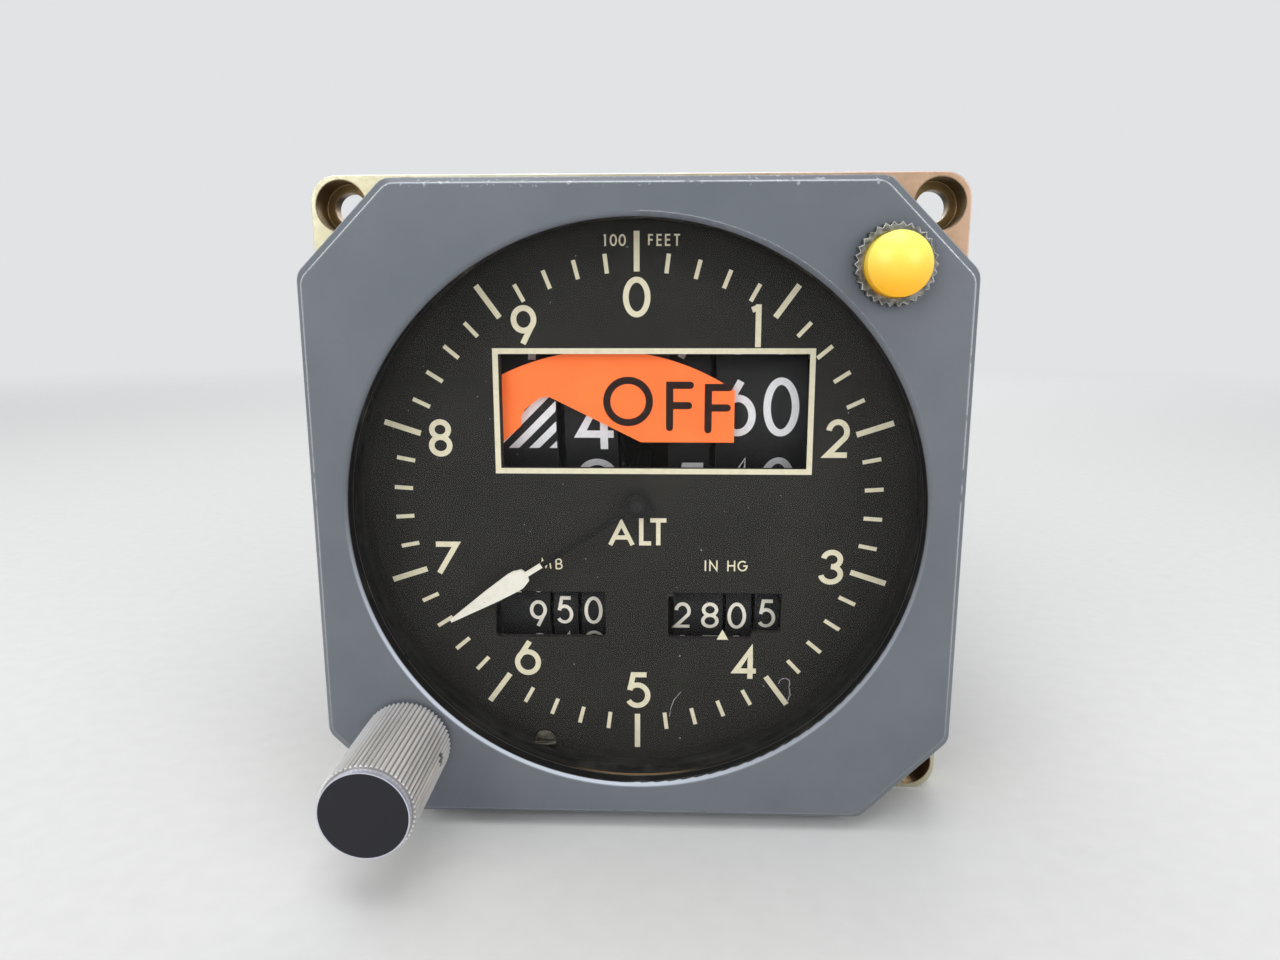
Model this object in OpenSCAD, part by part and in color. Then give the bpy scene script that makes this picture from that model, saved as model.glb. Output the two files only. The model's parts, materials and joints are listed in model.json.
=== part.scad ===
// Servo altimeter for a three-inch square panel: counter drums, pointer, warning flag and baro setting.
// Millimetres. +Z up, the dial looks along -Y. The origin is on the dial axis, at the flange's rear face.

/* [Flange] */
// Width and height of the mounting flange
flange_w = 86.8; // [84:0.1:90]
// Thickness of the mounting flange
flange_t = 6; // [5:0.1:8]
// Radius of the flange's corners
flange_r = 3.5; // [2:0.1:5]
// Distance between the mounting holes, both ways
hole_pitch = 78.8; // [78:0.1:79.6]
// Diameter of the mounting holes
hole_d = 4.4; // [3.6:0.1:5]
// Diameter of the counterbores for the screw heads
cbore_d = 6.7; // [6:0.1:7]
// Depth of the counterbores
cbore_depth = 4; // [2:0.1:4.5]
// Width of the flange's seat behind the dial's edge
dial_seat = 1; // [0.8:0.1:1.6]

/* [Bezel] */
// Width and height of the bezel
bezel_w = 83; // [82.4:0.1:85]
// Thickness of the bezel
bezel_t = 11.8; // [11:0.1:14]
// Length of each corner cut along the sides
bezel_cut = 11.2; // [10.6:0.1:12]
// Radius that softens the cut corners
bezel_r = 2.2; // [1:0.1:3]
// Bevel round the front edge
bezel_edge = 0.7; // [0.3:0.1:1]
// Diameter of the round opening in the front
opening_d = 73.6; // [72:0.1:74.4]
// Thickness of the lip that holds the glass
lip_t = 2.2; // [1.8:0.1:2.6]
// Rounding of the opening's front edge
lip_round = 0.7; // [0.3:0.1:1.2]
// Width of the lip over the glass
lip_w = 2.3; // [1.8:0.1:2.5]
// Diameter of the screws that hold the bezel on the flange
bezel_screw_d = 3; // [2.5:0.1:3.5]

/* [Glass and dial] */
// Thickness of the glass gasket
gasket_t = 0.5; // [0.3:0.1:0.8]
// Thickness of the cover glass
glass_t = 2.5; // [2:0.1:2.8]
// Depth of the dial below the bezel's front face
dial_depth = 8.8; // [8.6:0.1:9.2]
// Thickness of the dial plate
dial_t = 1; // [0.6:0.1:1.4]
// Wall of the black ring at the dial
ring_wall = 1.4; // [1:0.1:1.8]
// Diameter of the dial screw's head
dial_screw_d = 3.2; // [2.6:0.1:3.6]
// Height of the pointer above the dial
pointer_lift = 2; // [1.6:0.1:2.2]
// Thickness of the pointer
pointer_t = 0.4; // [0.3:0.1:0.6]
// Length of the pointer from its axis
pointer_len = 30.4; // [28:0.1:31]
// Diameter of the pointer shaft
pointer_shaft_d = 2.2; // [1.8:0.1:2.6]

/* [Altitude counter] */
// Diameter of the altitude drums
drum_d = 36; // [34:0.1:36.6]
// Height of the drum axle above the dial axis
counter_z = 12.5; // [11.5:0.1:13]
// Left edge of the ten-thousands drum
tenk_x = -19.4; // [-19.8:0.1:-19.2]
// Width of the ten-thousands drum
tenk_w = 8.3; // [7.8:0.1:8.4]
// Left edge of the thousands drum
thou_x = -10; // [-10.1:0.1:-9.6]
// Width of the thousands drum
thou_w = 7.2; // [6.8:0.1:7.3]
// Left edge of the hundreds drum
hund_x = 4.2; // [4:0.1:4.4]
// Width of the hundreds drum
hund_w = 5.7; // [5.2:0.1:5.8]
// Left edge of the tens drum
tens_x = 10.8; // [10.7:0.1:11.2]
// Width of the tens drum
tens_w = 12.3; // [11.6:0.1:12.6]
// Diameter of the drum axle
drum_axle_d = 3; // [2:0.1:4]

/* [Baro counters] */
// Diameter of the baro drums
baro_drum_d = 17; // [15:0.1:17.4]
// Height of the baro axle, below the dial axis
baro_z = -16.5; // [-17:0.1:-16]
// Left edge of the millibar counter
mb_x = -19.5; // [-19.8:0.1:-19.2]
// Left edge of the mercury counter
hg_x = 5.1; // [4.8:0.1:5.4]
// Width of each counter's first, two-figure drum
wide_w = 6.9; // [6.4:0.1:7]
// Width of each single-figure drum
narrow_w = 3.4; // [3:0.1:3.5]
// Gap between neighbouring baro drums
baro_gap = 0.6; // [0.5:0.05:0.8]
// Diameter of the baro axle
baro_axle_d = 2; // [1.4:0.1:2.4]

/* [Knob] */
// Knob axis, to the left of the dial axis
knob_x = -30.5; // [-31:0.1:-30.2]
// Knob axis, below the dial axis
knob_z = -31; // [-31.4:0.1:-30.6]
// Diameter of the knob over its flutes
knob_d = 11.7; // [10.6:0.1:12.4]
// Length of the knob
knob_len = 17.6; // [14:0.1:20]
// Gap between the knob and the bezel
knob_gap = 0.6; // [0.4:0.1:1]
// Number of flutes
knob_flutes = 58; // [40:1:64]
// Depth of the flutes
flute_depth = 0.32; // [0.2:0.02:0.4]
// Diameter of the black end cap
knob_cap_d = 10.6; // [9.4:0.1:10.7]
// Diameter of the knob shaft
knob_shaft_d = 3.2; // [2.6:0.1:3.8]

/* [Lamp] */
// Lamp axis, to the right of the dial axis
lamp_x = 30.9; // [30.7:0.1:31.2]
// Lamp axis, above the dial axis
lamp_z = 31.1; // [30.9:0.1:31.4]
// Diameter of the lamp cap
lamp_cap_d = 7.6; // [7:0.1:7.8]
// Height of the lamp cap above the bezel
lamp_cap_h = 5.2; // [4.4:0.1:6]
// Diameter of the serrated ring
lamp_ring_d = 9.9; // [9.4:0.1:10.6]
// Height of the serrated ring
lamp_ring_h = 1.6; // [1:0.1:2]
// Number of points round the ring
lamp_points = 30; // [24:1:36]
// Travel of the lamp cap when it is pressed to test
lamp_travel = 1.2; // [0.6:0.1:1.6]

/* [Flag] */
// Flag axis, to the left of the dial axis
flag_x = -27; // [-27.4:0.1:-26.8]
// Flag axis, below the dial axis
flag_z = -2.1; // [-2.6:0.1:-1.6]
// Turn that takes the flag out of the window, in degrees
flag_turn = 38; // [36:0.5:40]
// Thickness of the flag
flag_t = 0.4; // [0.3:0.05:0.5]
// Clearance in front of and behind the flag
flag_gap = 0.6; // [0.5:0.05:0.8]

/* [Case] */
// Width and height of the case
case_w = 80; // [79.4:0.1:81]
// Length of each corner cut of the case along the sides
case_cut = 8; // [7:0.1:8.6]
// Wall of the case
case_wall = 1.2; // [0.8:0.1:1.5]
// Length of the case behind the flange
case_len = 150; // [135:1:190]
// Thickness of the rear cover
rear_t = 3; // [2:0.1:5]
// Diameter of the connector's barrel
connector_d = 25.4; // [20:0.1:32]
// Length of the connector's barrel
connector_len = 14; // [10:0.1:20]
// Diameter of the frame posts
post_d = 4; // [3:0.1:4.4]
// Thickness of the mechanism plates
plate_t = 2; // [1.5:0.1:2.4]

/* [Hidden] */
$fn = 96;

// Clearances that mating pieces share
run_fit = 0.05;
slip_fit = 0.1;
mesh_gap = 0.25;
// Overshoot of cuts past the faces they open
cut = 1;

// Stations along Y, from the bezel's face to the rear cover
flange_y = -flange_t;
face_y = flange_y - bezel_t;
lip_y = face_y + lip_t;
glass_y = lip_y + gasket_t;
ring_y = glass_y + glass_t;
dial_y = face_y + dial_depth;
dial_rear_y = dial_y + dial_t;
flag_y = dial_rear_y + flag_gap;
drum_front_y = flag_y + flag_t + flag_gap;
pointer_y = dial_y - pointer_lift - pointer_t;
rear_y = case_len;

// Round openings from the front to the flange
cavity_d = opening_d + 2 * lip_w;
ring_bore = cavity_d - 2 * ring_wall;
flange_bore = cavity_d - 2 * dial_seat;

// Shared tooth form of the involute gears
pressure = 20;
play = 0.1;
addendum = 0.8;
dedendum = 1.1;

// Altitude train: drum axle, cross shaft behind the drums, crown wheel on the pointer shaft
drum_r = drum_d / 2;
drum_y = drum_front_y + drum_r;
drum_axle_r = drum_axle_d / 2;
drum_wall = 1.2;
hub_wall = 1.5;
hub_r = drum_axle_r + hub_wall;
tens_teeth = 16;
cross_teeth = 32;
cross_reach = 6;
cross_c = drum_r + cross_reach;
alt_module = 2 * cross_c / (tens_teeth + cross_teeth);
cross_y = drum_y + sqrt(cross_c * cross_c - counter_z * counter_z);
cross_angle = atan2(-counter_z, cross_y - drum_y);
cross_shaft_r = 1;
crown_module = 0.5;
crown_teeth = 40;
crown_pinion_teeth = 16;
crown_r = crown_teeth * crown_module / 2;
crown_face = 1.6;
crown_t = 1.6;
crown_y = cross_y + crown_pinion_teeth * crown_module / 2;
gear_w = 1.5;
gear_space = 0.5;
alt_gear_x = tens_x + tens_w + gear_space;
right_x = alt_gear_x + gear_w + gear_space;
side_t = 1.2;
left_x = min(tenk_x, mb_x) - gear_space - side_t;
bracket_x = crown_r + 2 * crown_face;
bracket_t = 1.5;
bracket_w = 8;
bracket_nose = 3;
pinion_overhang = 0.1;
cross_tip_r = (cross_teeth / 2 + addendum) * alt_module;
side_margin = 2.6;
side_foot = [4, 8];

// Mechanism plates and the servo drive between them
crown_clear = 3;
main_gear_clear = 1.5;
gear_plate_y = crown_y + crown_t + crown_clear;
main_gear_y = gear_plate_y + plate_t + main_gear_clear;
motor_plate_y = main_gear_y + gear_w + main_gear_clear;
main_teeth = 48;
rotor_teeth = 12;
main_module = 0.8;
main_c = (main_teeth + rotor_teeth) * main_module / 2;
rotor_angle = 225;
motor_x = main_c * cos(rotor_angle);
motor_z = main_c * sin(rotor_angle);
motor_r = 10.5;
motor_len = 42;
motor_cap_len = 4;
motor_cap_step = 2;
synchro_len = 32;
rotor_shaft_r = 1.25;
rotor_depth = 12;
rotor_overhang = 0.4;
main_hole_at = 10;
main_hole_r = 4.5;
pointer_shaft_r = pointer_shaft_d / 2;
synchro_bore = 22;
pointer_shaft_end = motor_plate_y + plate_t + synchro_bore - 2 * cut;
// Transformer and transistors on the amplifier board, as width, height off the board and depth
transformer = [24, 18, 20];
transistor = [5, 9, 10];

// Transfer pinions, standing just clear of the drums' twenty-tooth rings
ring_teeth = 20;
pinion_teeth = 8;
transfer_w = 0.4;
ring_offset = 0.2;
alt_transfer_r = 0.8;
alt_transfer_module = 2 * (drum_r + alt_transfer_r + slip_fit) / (ring_teeth + pinion_teeth);
function transfer_c(m) = ((ring_teeth + pinion_teeth) / 2 + 2 * addendum) * m + mesh_gap;
alt_transfer_angle = 35;
alt_transfer_y = drum_y + transfer_c(alt_transfer_module) * cos(alt_transfer_angle);
alt_transfer_z = counter_z + transfer_c(alt_transfer_module) * sin(alt_transfer_angle);

// Baro train: knob pinion, countershaft, layshaft and two three-drum counters on one axle
baro_drum_r = baro_drum_d / 2;
baro_y = drum_front_y + baro_drum_r;
baro_axle_r = baro_axle_d / 2;
baro_wall = 0.8;
baro_hub_wall = 0.8;
baro_hub_r = baro_axle_r + baro_hub_wall;
baro_gear_w = 1;
lay_reach = 2.7;
baro_c = baro_drum_r + lay_reach;
mb_teeth = 32;
mb_lay_teeth = 16;
hg_teeth = 21;
hg_lay_teeth = 31;
mb_module = 2 * baro_c / (mb_teeth + mb_lay_teeth);
hg_module = 2 * baro_c / (hg_teeth + hg_lay_teeth);
knob_teeth = 16;
counter_teeth = 24;
knob_module = 0.6;
knob_gear_c = (knob_teeth + counter_teeth) * knob_module / 2;
countershaft_dx = 0.5;
countershaft_x = knob_x + countershaft_dx;
countershaft_z = knob_z + sqrt(knob_gear_c * knob_gear_c - countershaft_dx * countershaft_dx);
knob_gear_angle = atan2(countershaft_z - knob_z, countershaft_dx);
lay_z = countershaft_z;
lay_y = baro_y + sqrt(baro_c * baro_c - (lay_z - baro_z) * (lay_z - baro_z));
lay_angle = atan2(baro_z - lay_z, baro_y - lay_y);
lay_r = 0.9;
baro_crown_module = 0.35;
baro_crown_teeth = 40;
baro_pinion_teeth = 10;
baro_crown_r = baro_crown_teeth * baro_crown_module / 2;
baro_crown_face = 1.2;
baro_crown_t = 1.6;
baro_crown_y = lay_y - baro_pinion_teeth * baro_crown_module / 2;
countershaft_r = 1.2;
knob_gear_y = 2;
knob_gear_w = 1.8;
countershaft_lead = 0.8;
countershaft_y = knob_gear_y - countershaft_lead;
aux_clear = 3.6;
aux_y = lay_y + aux_clear;
aux_t = 1.5;
aux_below = 4;
aux_above = 2;
pot_r = 5.5;
pot_len = 10;
pot_bore = 6;
pot_tab = [6, 4, 5];
baro_transfer_r = 0.6;
baro_transfer_w = 0.3;
baro_ring_offset = 0.15;
baro_transfer_module = 2 * (baro_drum_r + baro_transfer_r + slip_fit) / (ring_teeth + pinion_teeth);
baro_transfer_angle = -60;
baro_transfer_y = baro_y + transfer_c(baro_transfer_module) * cos(baro_transfer_angle);
baro_transfer_z = baro_z + transfer_c(baro_transfer_module) * sin(baro_transfer_angle);
function baro_drum_x(start, i) = start + (i == 0 ? 0 : wide_w + baro_gap + (i - 1) * (narrow_w + baro_gap));
mb_gear_x = baro_drum_x(mb_x, 2) + narrow_w + gear_space;
hg_gear_x = baro_drum_x(hg_x, 2) + narrow_w + gear_space;

// Windows in the dial, as left, bottom, right and top edges
alt_window_h = 15.4;
alt_window_inset = 1.2;
alt_window = [tenk_x + alt_window_inset, counter_z - alt_window_h / 2,
  tens_x + tens_w, counter_z + alt_window_h / 2];
baro_below = 2.8;
baro_fine_below = 1.85;
baro_above = 3.85;
baro_side = 0.2;
baro_span = baro_drum_x(0, 2) + narrow_w;
mb_window = [mb_x - 2 * baro_side, baro_z - baro_below, mb_x + baro_span + baro_side, baro_z + baro_above];
hg_step_x = baro_drum_x(hg_x, 2) - baro_gap;
hg_window = [hg_x - baro_gap - baro_side, baro_z - baro_below, hg_step_x, baro_z + baro_above];
hg_fine_window = [hg_step_x - baro_side, baro_z - baro_fine_below, hg_x + baro_span, baro_z + baro_above];
window_r = 0.4;

// Dial screw and pointer details; the pointer shows 660 feet
dial_screw_inset = 1.88;
dial_screw_angle = -110.8;
dial_screw_at = polar(cavity_d / 2 - dial_screw_inset, dial_screw_angle);
dial_screw_r = 0.7;
dial_screw_h = 1;
dial_screw_len = 3;
dial_slot = 0.5;
dial_boss_r = 2;
bush_wall = 1.2;
bush_len = 2.5;
pointer_hub_r = 1.6;
pointer_nose_r = 0.7 * pointer_shaft_r;
pointer_angle = -147.6;
// Half widths of the stem and the leaf, at shares of the pointer's length
pointer_outline = [[0, 0.35], [0.585, 0.35], [0.592, 0.95], [0.63, 1.35], [0.66, 1.38], [0.78, 1.05],
  [1, 0.22]];

// Knob, lamp and flag details
knob_y = face_y - knob_gap - knob_len;
knob_r = knob_d / 2;
knob_rim = 1.1;
knob_front_edge = 0.15;
knob_cap_t = 0.6;
knob_web = 4;
knob_bore_y = knob_y + knob_cap_t + knob_web;
knob_bush_tail = 1;
set_screw_at = 4.5;
set_screw_r = 0.9;
knob_shaft_r = knob_shaft_d / 2;
knob_bush_wall = 1.4;
knob_bush_r = knob_shaft_r + knob_bush_wall;
lamp_r = lamp_cap_d / 2;
lamp_socket_wall = 0.35;
lamp_depth = 9;
lamp_tail = 8;
lamp_point_depth = 0.45;
lamp_dome = 1.7;
lamp_skirt = 4;
lamp_cap_wall = 1;
lamp_bore_rise = 1;
dome_r = (lamp_r * lamp_r + lamp_dome * lamp_dome) / (2 * lamp_dome);
bulb_r = 1.5;
bulb_setback = 3.5;
bulb_seat = 3;
flag_hub_r = 2.2;
flag_pin_r = 0.6;
flag_motor_r = 4.4;
flag_motor_len = 11;
flag_motor_bore = 6;
flag_pin_end = aux_y - flag_motor_len + flag_motor_bore - gear_space;
flag_arc_gap = 0.5;
flag_arc_r = 31.4;
flag_arc_rise = flange_bore / 2 - flag_arc_gap - flag_arc_r;
flag_arm = 1.6;
flag_arc_x = flag_x - flag_x * cos(flag_turn) - flag_z * sin(flag_turn);
flag_arc_z = flag_z + flag_x * sin(flag_turn) - flag_z * cos(flag_turn) + flag_arc_rise;

// Edge of the flag from its right end along the bottom to the arch beside the ten-thousands drum
flag_edge = [[13.1, 24], [13.1, 8.15], [0.5, 8.15], [-11.2, 13.95], [-12.1, 14.35], [-13.2, 14.2],
  [-15.3, 12.6], [-15.9, 11.5], [-15.9, 10.3], [-18.9, 7.7]];
flag_back = [-23, 24];

// Frame posts, boards and the case's fixings
case_in = case_w / 2 - case_wall;
post_x = 14;
post_r = post_d / 2;
post_clear = 0.9;
post_z = case_in - post_r - post_clear;
lug_w = 14;
lug_t = 2.4;
lug_len = 6;
lug_foot = 1;
plate_fit = 0.4;
board_clear = 3;
board_y = motor_plate_y + plate_t + motor_len + motor_cap_len + transformer[1] + board_clear;
board_t = 1.6;
transformer_x = -26;
transistor_z = -14;
transistor_x = 1.5;
transistor_pitch = 8;
capacitor_x = 8;
capacitor_z = 12;
capacitor_pitch = 16;
capacitor_r = 5.5;
capacitor_h = 16;
screw_r = 1.25;
screw_head_r = 2.3;
screw_head_h = 1.4;
slot_w = 0.7;
bezel_head_h = 2.4;
register_len = 3;
register_wall = 2;
connector_margin = 6;
connector_flange = connector_d + connector_margin;
connector_screw = (connector_flange - connector_margin) / 2;
connector_flange_r = 2;
connector_wall = 1.4;
connector_recess = 3;
connector_flange_t = 2;
insert_tail = 4;
contact_r = 0.6;
contact_set = 0.6;
contact_pitch = 4.3;

// Placing helpers: a flat shape (u, v) stands in the Y-Z plane along X, or in the X-Z plane along Y
module along_x(x, len) translate([x, 0, 0]) rotate([90, 0, 90]) linear_extrude(len) children();
module along_y(y, len) translate([0, y + len, 0]) rotate([90, 0, 0]) linear_extrude(len) children();
module rod_x(x, len, y, z, r) translate([x, y, z]) rotate([0, 90, 0]) cylinder(h = len, r = r);
module rod_y(y, len, x, z, r) translate([x, y, z]) rotate([-90, 0, 0]) cylinder(h = len, r = r);

// Square outline with cut corners, softened by radius r
module cut_square(half, leg, r) {
  // Inset of the round centres so that both flats keep their place
  side = half - r;
  edge = half - leg + r * tan(22.5) - r;
  hull() for (sx = [-1, 1], sz = [-1, 1]) {
    translate([sx * side, sz * (edge + r * (1 - 2 * tan(22.5)))]) circle(r, $fn = 32);
    translate([sx * (edge + r * (1 - 2 * tan(22.5))), sz * side]) circle(r, $fn = 32);
  }
}

module sharp_cut_square(half, leg) polygon([[half, half - leg], [half - leg, half], [leg - half, half],
  [-half, half - leg], [-half, leg - half], [leg - half, -half], [half - leg, -half], [half, leg - half]]);

module round_square(half, r) hull() for (sx = [-1, 1], sz = [-1, 1])
  translate([sx * (half - r), sz * (half - r)]) circle(r, $fn = 48);

module window(w) hull() for (x = [w[0] + window_r, w[2] - window_r], z = [w[1] + window_r, w[3] - window_r])
  translate([x, z]) circle(window_r, $fn = 24);

// Involute spur gear outline with one tooth centred on the phase angle
function involute(a) = tan(a) * 180 / PI - a;
function flank(n, rho) = let (base = n / 2 * cos(pressure), a = rho > base ? acos(base / rho) : 0)
  90 / n - 2 * play / n * 180 / PI + involute(pressure) - involute(a);
function tooth(n) = let (p = n / 2, base = max(p * cos(pressure), p - dedendum + 0.1))
  [for (rho = [p - dedendum, base, (base + p + addendum) / 2, p + addendum]) [rho, flank(n, rho)]];
function reversed(list) = [for (i = [len(list) - 1:-1:0]) list[i]];
function polar(r, a) = r * [cos(a), sin(a)];
module gear(n, m, phase) polygon([for (i = [0:n - 1]) each concat(
  [for (q = tooth(n)) polar(m * q[0], phase + 360 / n * i - q[1])],
  [for (q = reversed(tooth(n))) polar(m * q[0], phase + 360 / n * i + q[1])])]);

// Crown wheel on the Y axis: radial slots cut in a ring, its teeth facing -Y with the pitch plane at y = 0
module crown(n, m, face, t, bore) {
  mean = n * m / 2;
  half_slot = PI * m / 4 + play * m;
  difference() {
    rod_y(-addendum * m, addendum * m + t, 0, 0, mean + face / 2);
    rod_y(-addendum * m - cut, (addendum + dedendum) * m + cut, 0, 0, mean - face / 2);
    rod_y(-cut - m, t + m + 2 * cut, 0, 0, bore);
    for (i = [0:n - 1]) rotate([0, 360 / n * i, 0]) along_x(mean - face / 2 - cut, face + 2 * cut)
      polygon([[-m, half_slot + m * tan(pressure)], [dedendum * m, half_slot - dedendum * m * tan(pressure)],
        [dedendum * m, -half_slot + dedendum * m * tan(pressure)], [-m, -half_slot - m * tan(pressure)]]);
  }
}

// Counter drum on an X axle: rim, web and hub
module drum_body(x, w, y, z, r, wall, hub, hub_end) {
  difference() {
    rod_x(x, w, y, z, r);
    rod_x(x - cut, w + 2 * cut, y, z, r - wall);
  }
  difference() {
    union() {
      rod_x(x + (w - wall) / 2, wall, y, z, r - wall / 2);
      rod_x(x, hub_end - x, y, z, hub);
    }
    children();
  }
}

module altitude_bore() rod_x(left_x, right_x - left_x + side_t, drum_y, counter_z, drum_axle_r + run_fit);

// Altitude drum with the twenty-tooth ring that its transfer pinion drives
module altitude_drum(x, w) {
  ring_x = x + w + ring_offset;
  drum_body(x, w, drum_y, counter_z, drum_r, drum_wall, hub_r, ring_x) altitude_bore();
  difference() {
    translate([0, drum_y, counter_z]) along_x(ring_x, transfer_w) gear(ring_teeth, alt_transfer_module, 0);
    altitude_bore();
  }
}

module baro_bore() rod_x(left_x, right_x - left_x + side_t, baro_y, baro_z, baro_axle_r + run_fit);

module baro_drum(start, i) {
  x = baro_drum_x(start, i);
  w = i == 0 ? wide_w : narrow_w;
  ring_x = x + w + baro_ring_offset;
  drum_body(x, w, baro_y, baro_z, baro_drum_r, baro_wall, baro_hub_r, ring_x) baro_bore();
  difference() {
    translate([0, baro_y, baro_z]) along_x(ring_x, baro_transfer_w) gear(ring_teeth, baro_transfer_module, 0);
    baro_bore();
  }
}

// Last drum of a baro counter, driven by a spur gear on its right
module baro_driven_drum(start, n, m) {
  x = baro_drum_x(start, 2);
  gear_x = x + narrow_w + gear_space;
  drum_body(x, narrow_w, baro_y, baro_z, baro_drum_r, baro_wall, baro_hub_r, gear_x) baro_bore();
  difference() {
    translate([0, baro_y, baro_z]) along_x(gear_x, baro_gear_w) gear(n, m, lay_angle + 180 + 180 / n);
    baro_bore();
  }
}

// Grey cast frame round the glass
module bezel() color("slategray") difference() {
  hull() {
    along_y(face_y + bezel_edge, bezel_t - bezel_edge) cut_square(bezel_w / 2, bezel_cut, bezel_r);
    along_y(face_y, bezel_t) cut_square(bezel_w / 2 - bezel_edge, bezel_cut, bezel_r);
  }
  rod_y(face_y - cut, bezel_t + 2 * cut, 0, 0, opening_d / 2);
  rod_y(lip_y, bezel_t, 0, 0, cavity_d / 2);
  translate([0, face_y, 0]) rotate([-90, 0, 0]) rotate_extrude() difference() {
    translate([opening_d / 2 - cut, -cut]) square([lip_round + cut, lip_round + cut]);
    translate([opening_d / 2 + lip_round, lip_round]) circle(lip_round);
  }
  rod_y(face_y - cut, bezel_t + 2 * cut, knob_x, knob_z, knob_bush_r);
  rod_y(face_y - cut, bezel_t + 2 * cut, lamp_x, lamp_z, lamp_r + slip_fit + lamp_socket_wall);
  for (s = [-1, 1]) rod_y(flange_y - bezel_t + lip_t, bezel_t, s * lamp_x, -s * lamp_z, bezel_screw_d / 2);
}

// Plated flange with a register for the dial, four counterbored holes and four lugs for the case
module mounting_flange() color("darkgoldenrod") difference() {
  union() {
    along_y(flange_y, flange_t) round_square(flange_w / 2, flange_r);
    rod_y(dial_rear_y, flange_y - dial_rear_y + cut, 0, 0, cavity_d / 2 - slip_fit);
    for (a = [0:90:270]) rotate([0, a, 0]) translate([-lug_w / 2, -lug_foot, case_in - slip_fit - lug_t]) {
      cube([lug_w, lug_foot + lug_len, lug_t]);
      cube([lug_w, lug_foot, flange_w / 2 - case_in]);
    }
  }
  difference() {
    rod_y(dial_rear_y - cut, flange_t + flange_y - dial_rear_y + 2 * cut, 0, 0, flange_bore / 2);
    rod_y(dial_rear_y - 2 * cut, dial_screw_len + 2 * cut, dial_screw_at[0], dial_screw_at[1], dial_boss_r);
  }
  rod_y(dial_rear_y - cut, dial_screw_len + cut, dial_screw_at[0], dial_screw_at[1], dial_screw_r);
  for (sx = [-1, 1], sz = [-1, 1]) {
    rod_y(flange_y - cut, flange_t + 2 * cut, sx * hole_pitch / 2, sz * hole_pitch / 2, hole_d / 2);
    rod_y(flange_y - cut, cbore_depth + cut, sx * hole_pitch / 2, sz * hole_pitch / 2, cbore_d / 2);
  }
  rod_y(flange_y - cut, flange_t + 2 * cut, knob_x, knob_z, knob_bush_r);
  rod_y(flange_y - cut, flange_t + 2 * cut, lamp_x, lamp_z, lamp_r + slip_fit + lamp_socket_wall);
  for (s = [-1, 1]) {
    rod_y(flange_y - cut, flange_t + 2 * cut, s * lamp_x, -s * lamp_z, bezel_screw_d / 2);
    rod_y(-bezel_screw_d, bezel_screw_d + cut, s * lamp_x, -s * lamp_z, bezel_screw_d);
  }
  for (a = [0:90:270]) rotate([0, a, 0]) translate([0, lug_len / 2, 0]) cylinder(h = case_w, r = screw_r);
  rod_x(tenk_x - mesh_gap, tens_x + tens_w - tenk_x + 2 * mesh_gap, drum_y, counter_z, drum_r + mesh_gap);
}

// Screws from the flange's rear into the two solid corners of the bezel
module bezel_screws() color("silver") for (s = [-1, 1]) difference() {
  union() {
    rod_y(-bezel_screw_d, bezel_head_h, s * lamp_x, -s * lamp_z, bezel_screw_d - slip_fit);
    rod_y(flange_y - bezel_t / 2, bezel_t / 2 + flange_t - bezel_screw_d, s * lamp_x, -s * lamp_z,
      bezel_screw_d / 2);
  }
  translate([s * lamp_x - bezel_screw_d, bezel_head_h - bezel_screw_d - slot_w, -s * lamp_z - slot_w / 2])
    cube([2 * bezel_screw_d, bezel_screw_d, slot_w]);
}

module cover_glass() color("lightcyan", 0.3) rod_y(glass_y, glass_t, 0, 0, cavity_d / 2 - slip_fit);

module glass_gasket() color("goldenrod") difference() {
  rod_y(lip_y, gasket_t, 0, 0, cavity_d / 2 - slip_fit);
  rod_y(lip_y - cut, gasket_t + 2 * cut, 0, 0, opening_d / 2);
}

// Black ring that holds the glass forward and clamps the dial, with a wider front step
module dial_ring() color("black") difference() {
  rod_y(ring_y, dial_y - ring_y, 0, 0, cavity_d / 2 - slip_fit);
  rod_y(ring_y - cut, dial_y - ring_y + 2 * cut, 0, 0, ring_bore / 2);
  rod_y(ring_y - cut, (dial_y - ring_y) / 2 + cut, 0, 0, (ring_bore + cavity_d) / 4);
  rod_y(dial_y - dial_screw_h - slip_fit, dial_screw_h + cut, dial_screw_at[0], dial_screw_at[1],
    dial_screw_d / 2 + slip_fit);
}

// Dial plate with the windows of the three counters; the fine mercury figures look through a shorter one
module dial_plate() color("dimgray") difference() {
  rod_y(dial_y, dial_t, 0, 0, cavity_d / 2 - slip_fit);
  for (w = [alt_window, mb_window, hg_window, hg_fine_window])
    along_y(dial_y - cut, dial_t + 2 * cut) window(w);
  rod_y(dial_y - cut, dial_t + 2 * cut, 0, 0, pointer_shaft_r + bush_wall);
  rod_y(dial_y - cut, dial_t + 2 * cut, dial_screw_at[0], dial_screw_at[1], dial_screw_r);
}

// Dome-headed screw through the dial into the flange's boss
module dial_screw() color("rosybrown") {
  rod_y(dial_y, dial_t + dial_screw_len - slip_fit, dial_screw_at[0], dial_screw_at[1], dial_screw_r);
  difference() {
    translate([dial_screw_at[0], dial_y, dial_screw_at[1]]) rotate([90, 0, 0]) rotate_extrude()
      intersection() {
        translate([0, dial_screw_h - dial_screw_d]) circle(dial_screw_d);
        square([dial_screw_d / 2, dial_screw_d]);
      }
    translate([dial_screw_at[0], dial_y - dial_screw_d / 2 - dial_slot, dial_screw_at[1]])
      cube([2 * dial_screw_d, dial_screw_d, dial_slot], center = true);
  }
}

module pointer_bush() color("goldenrod") difference() {
  rod_y(dial_y, dial_t + bush_len, 0, 0, pointer_shaft_r + bush_wall);
  rod_y(dial_y - cut, dial_t + bush_len + 2 * cut, 0, 0, pointer_shaft_r + run_fit);
}

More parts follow.
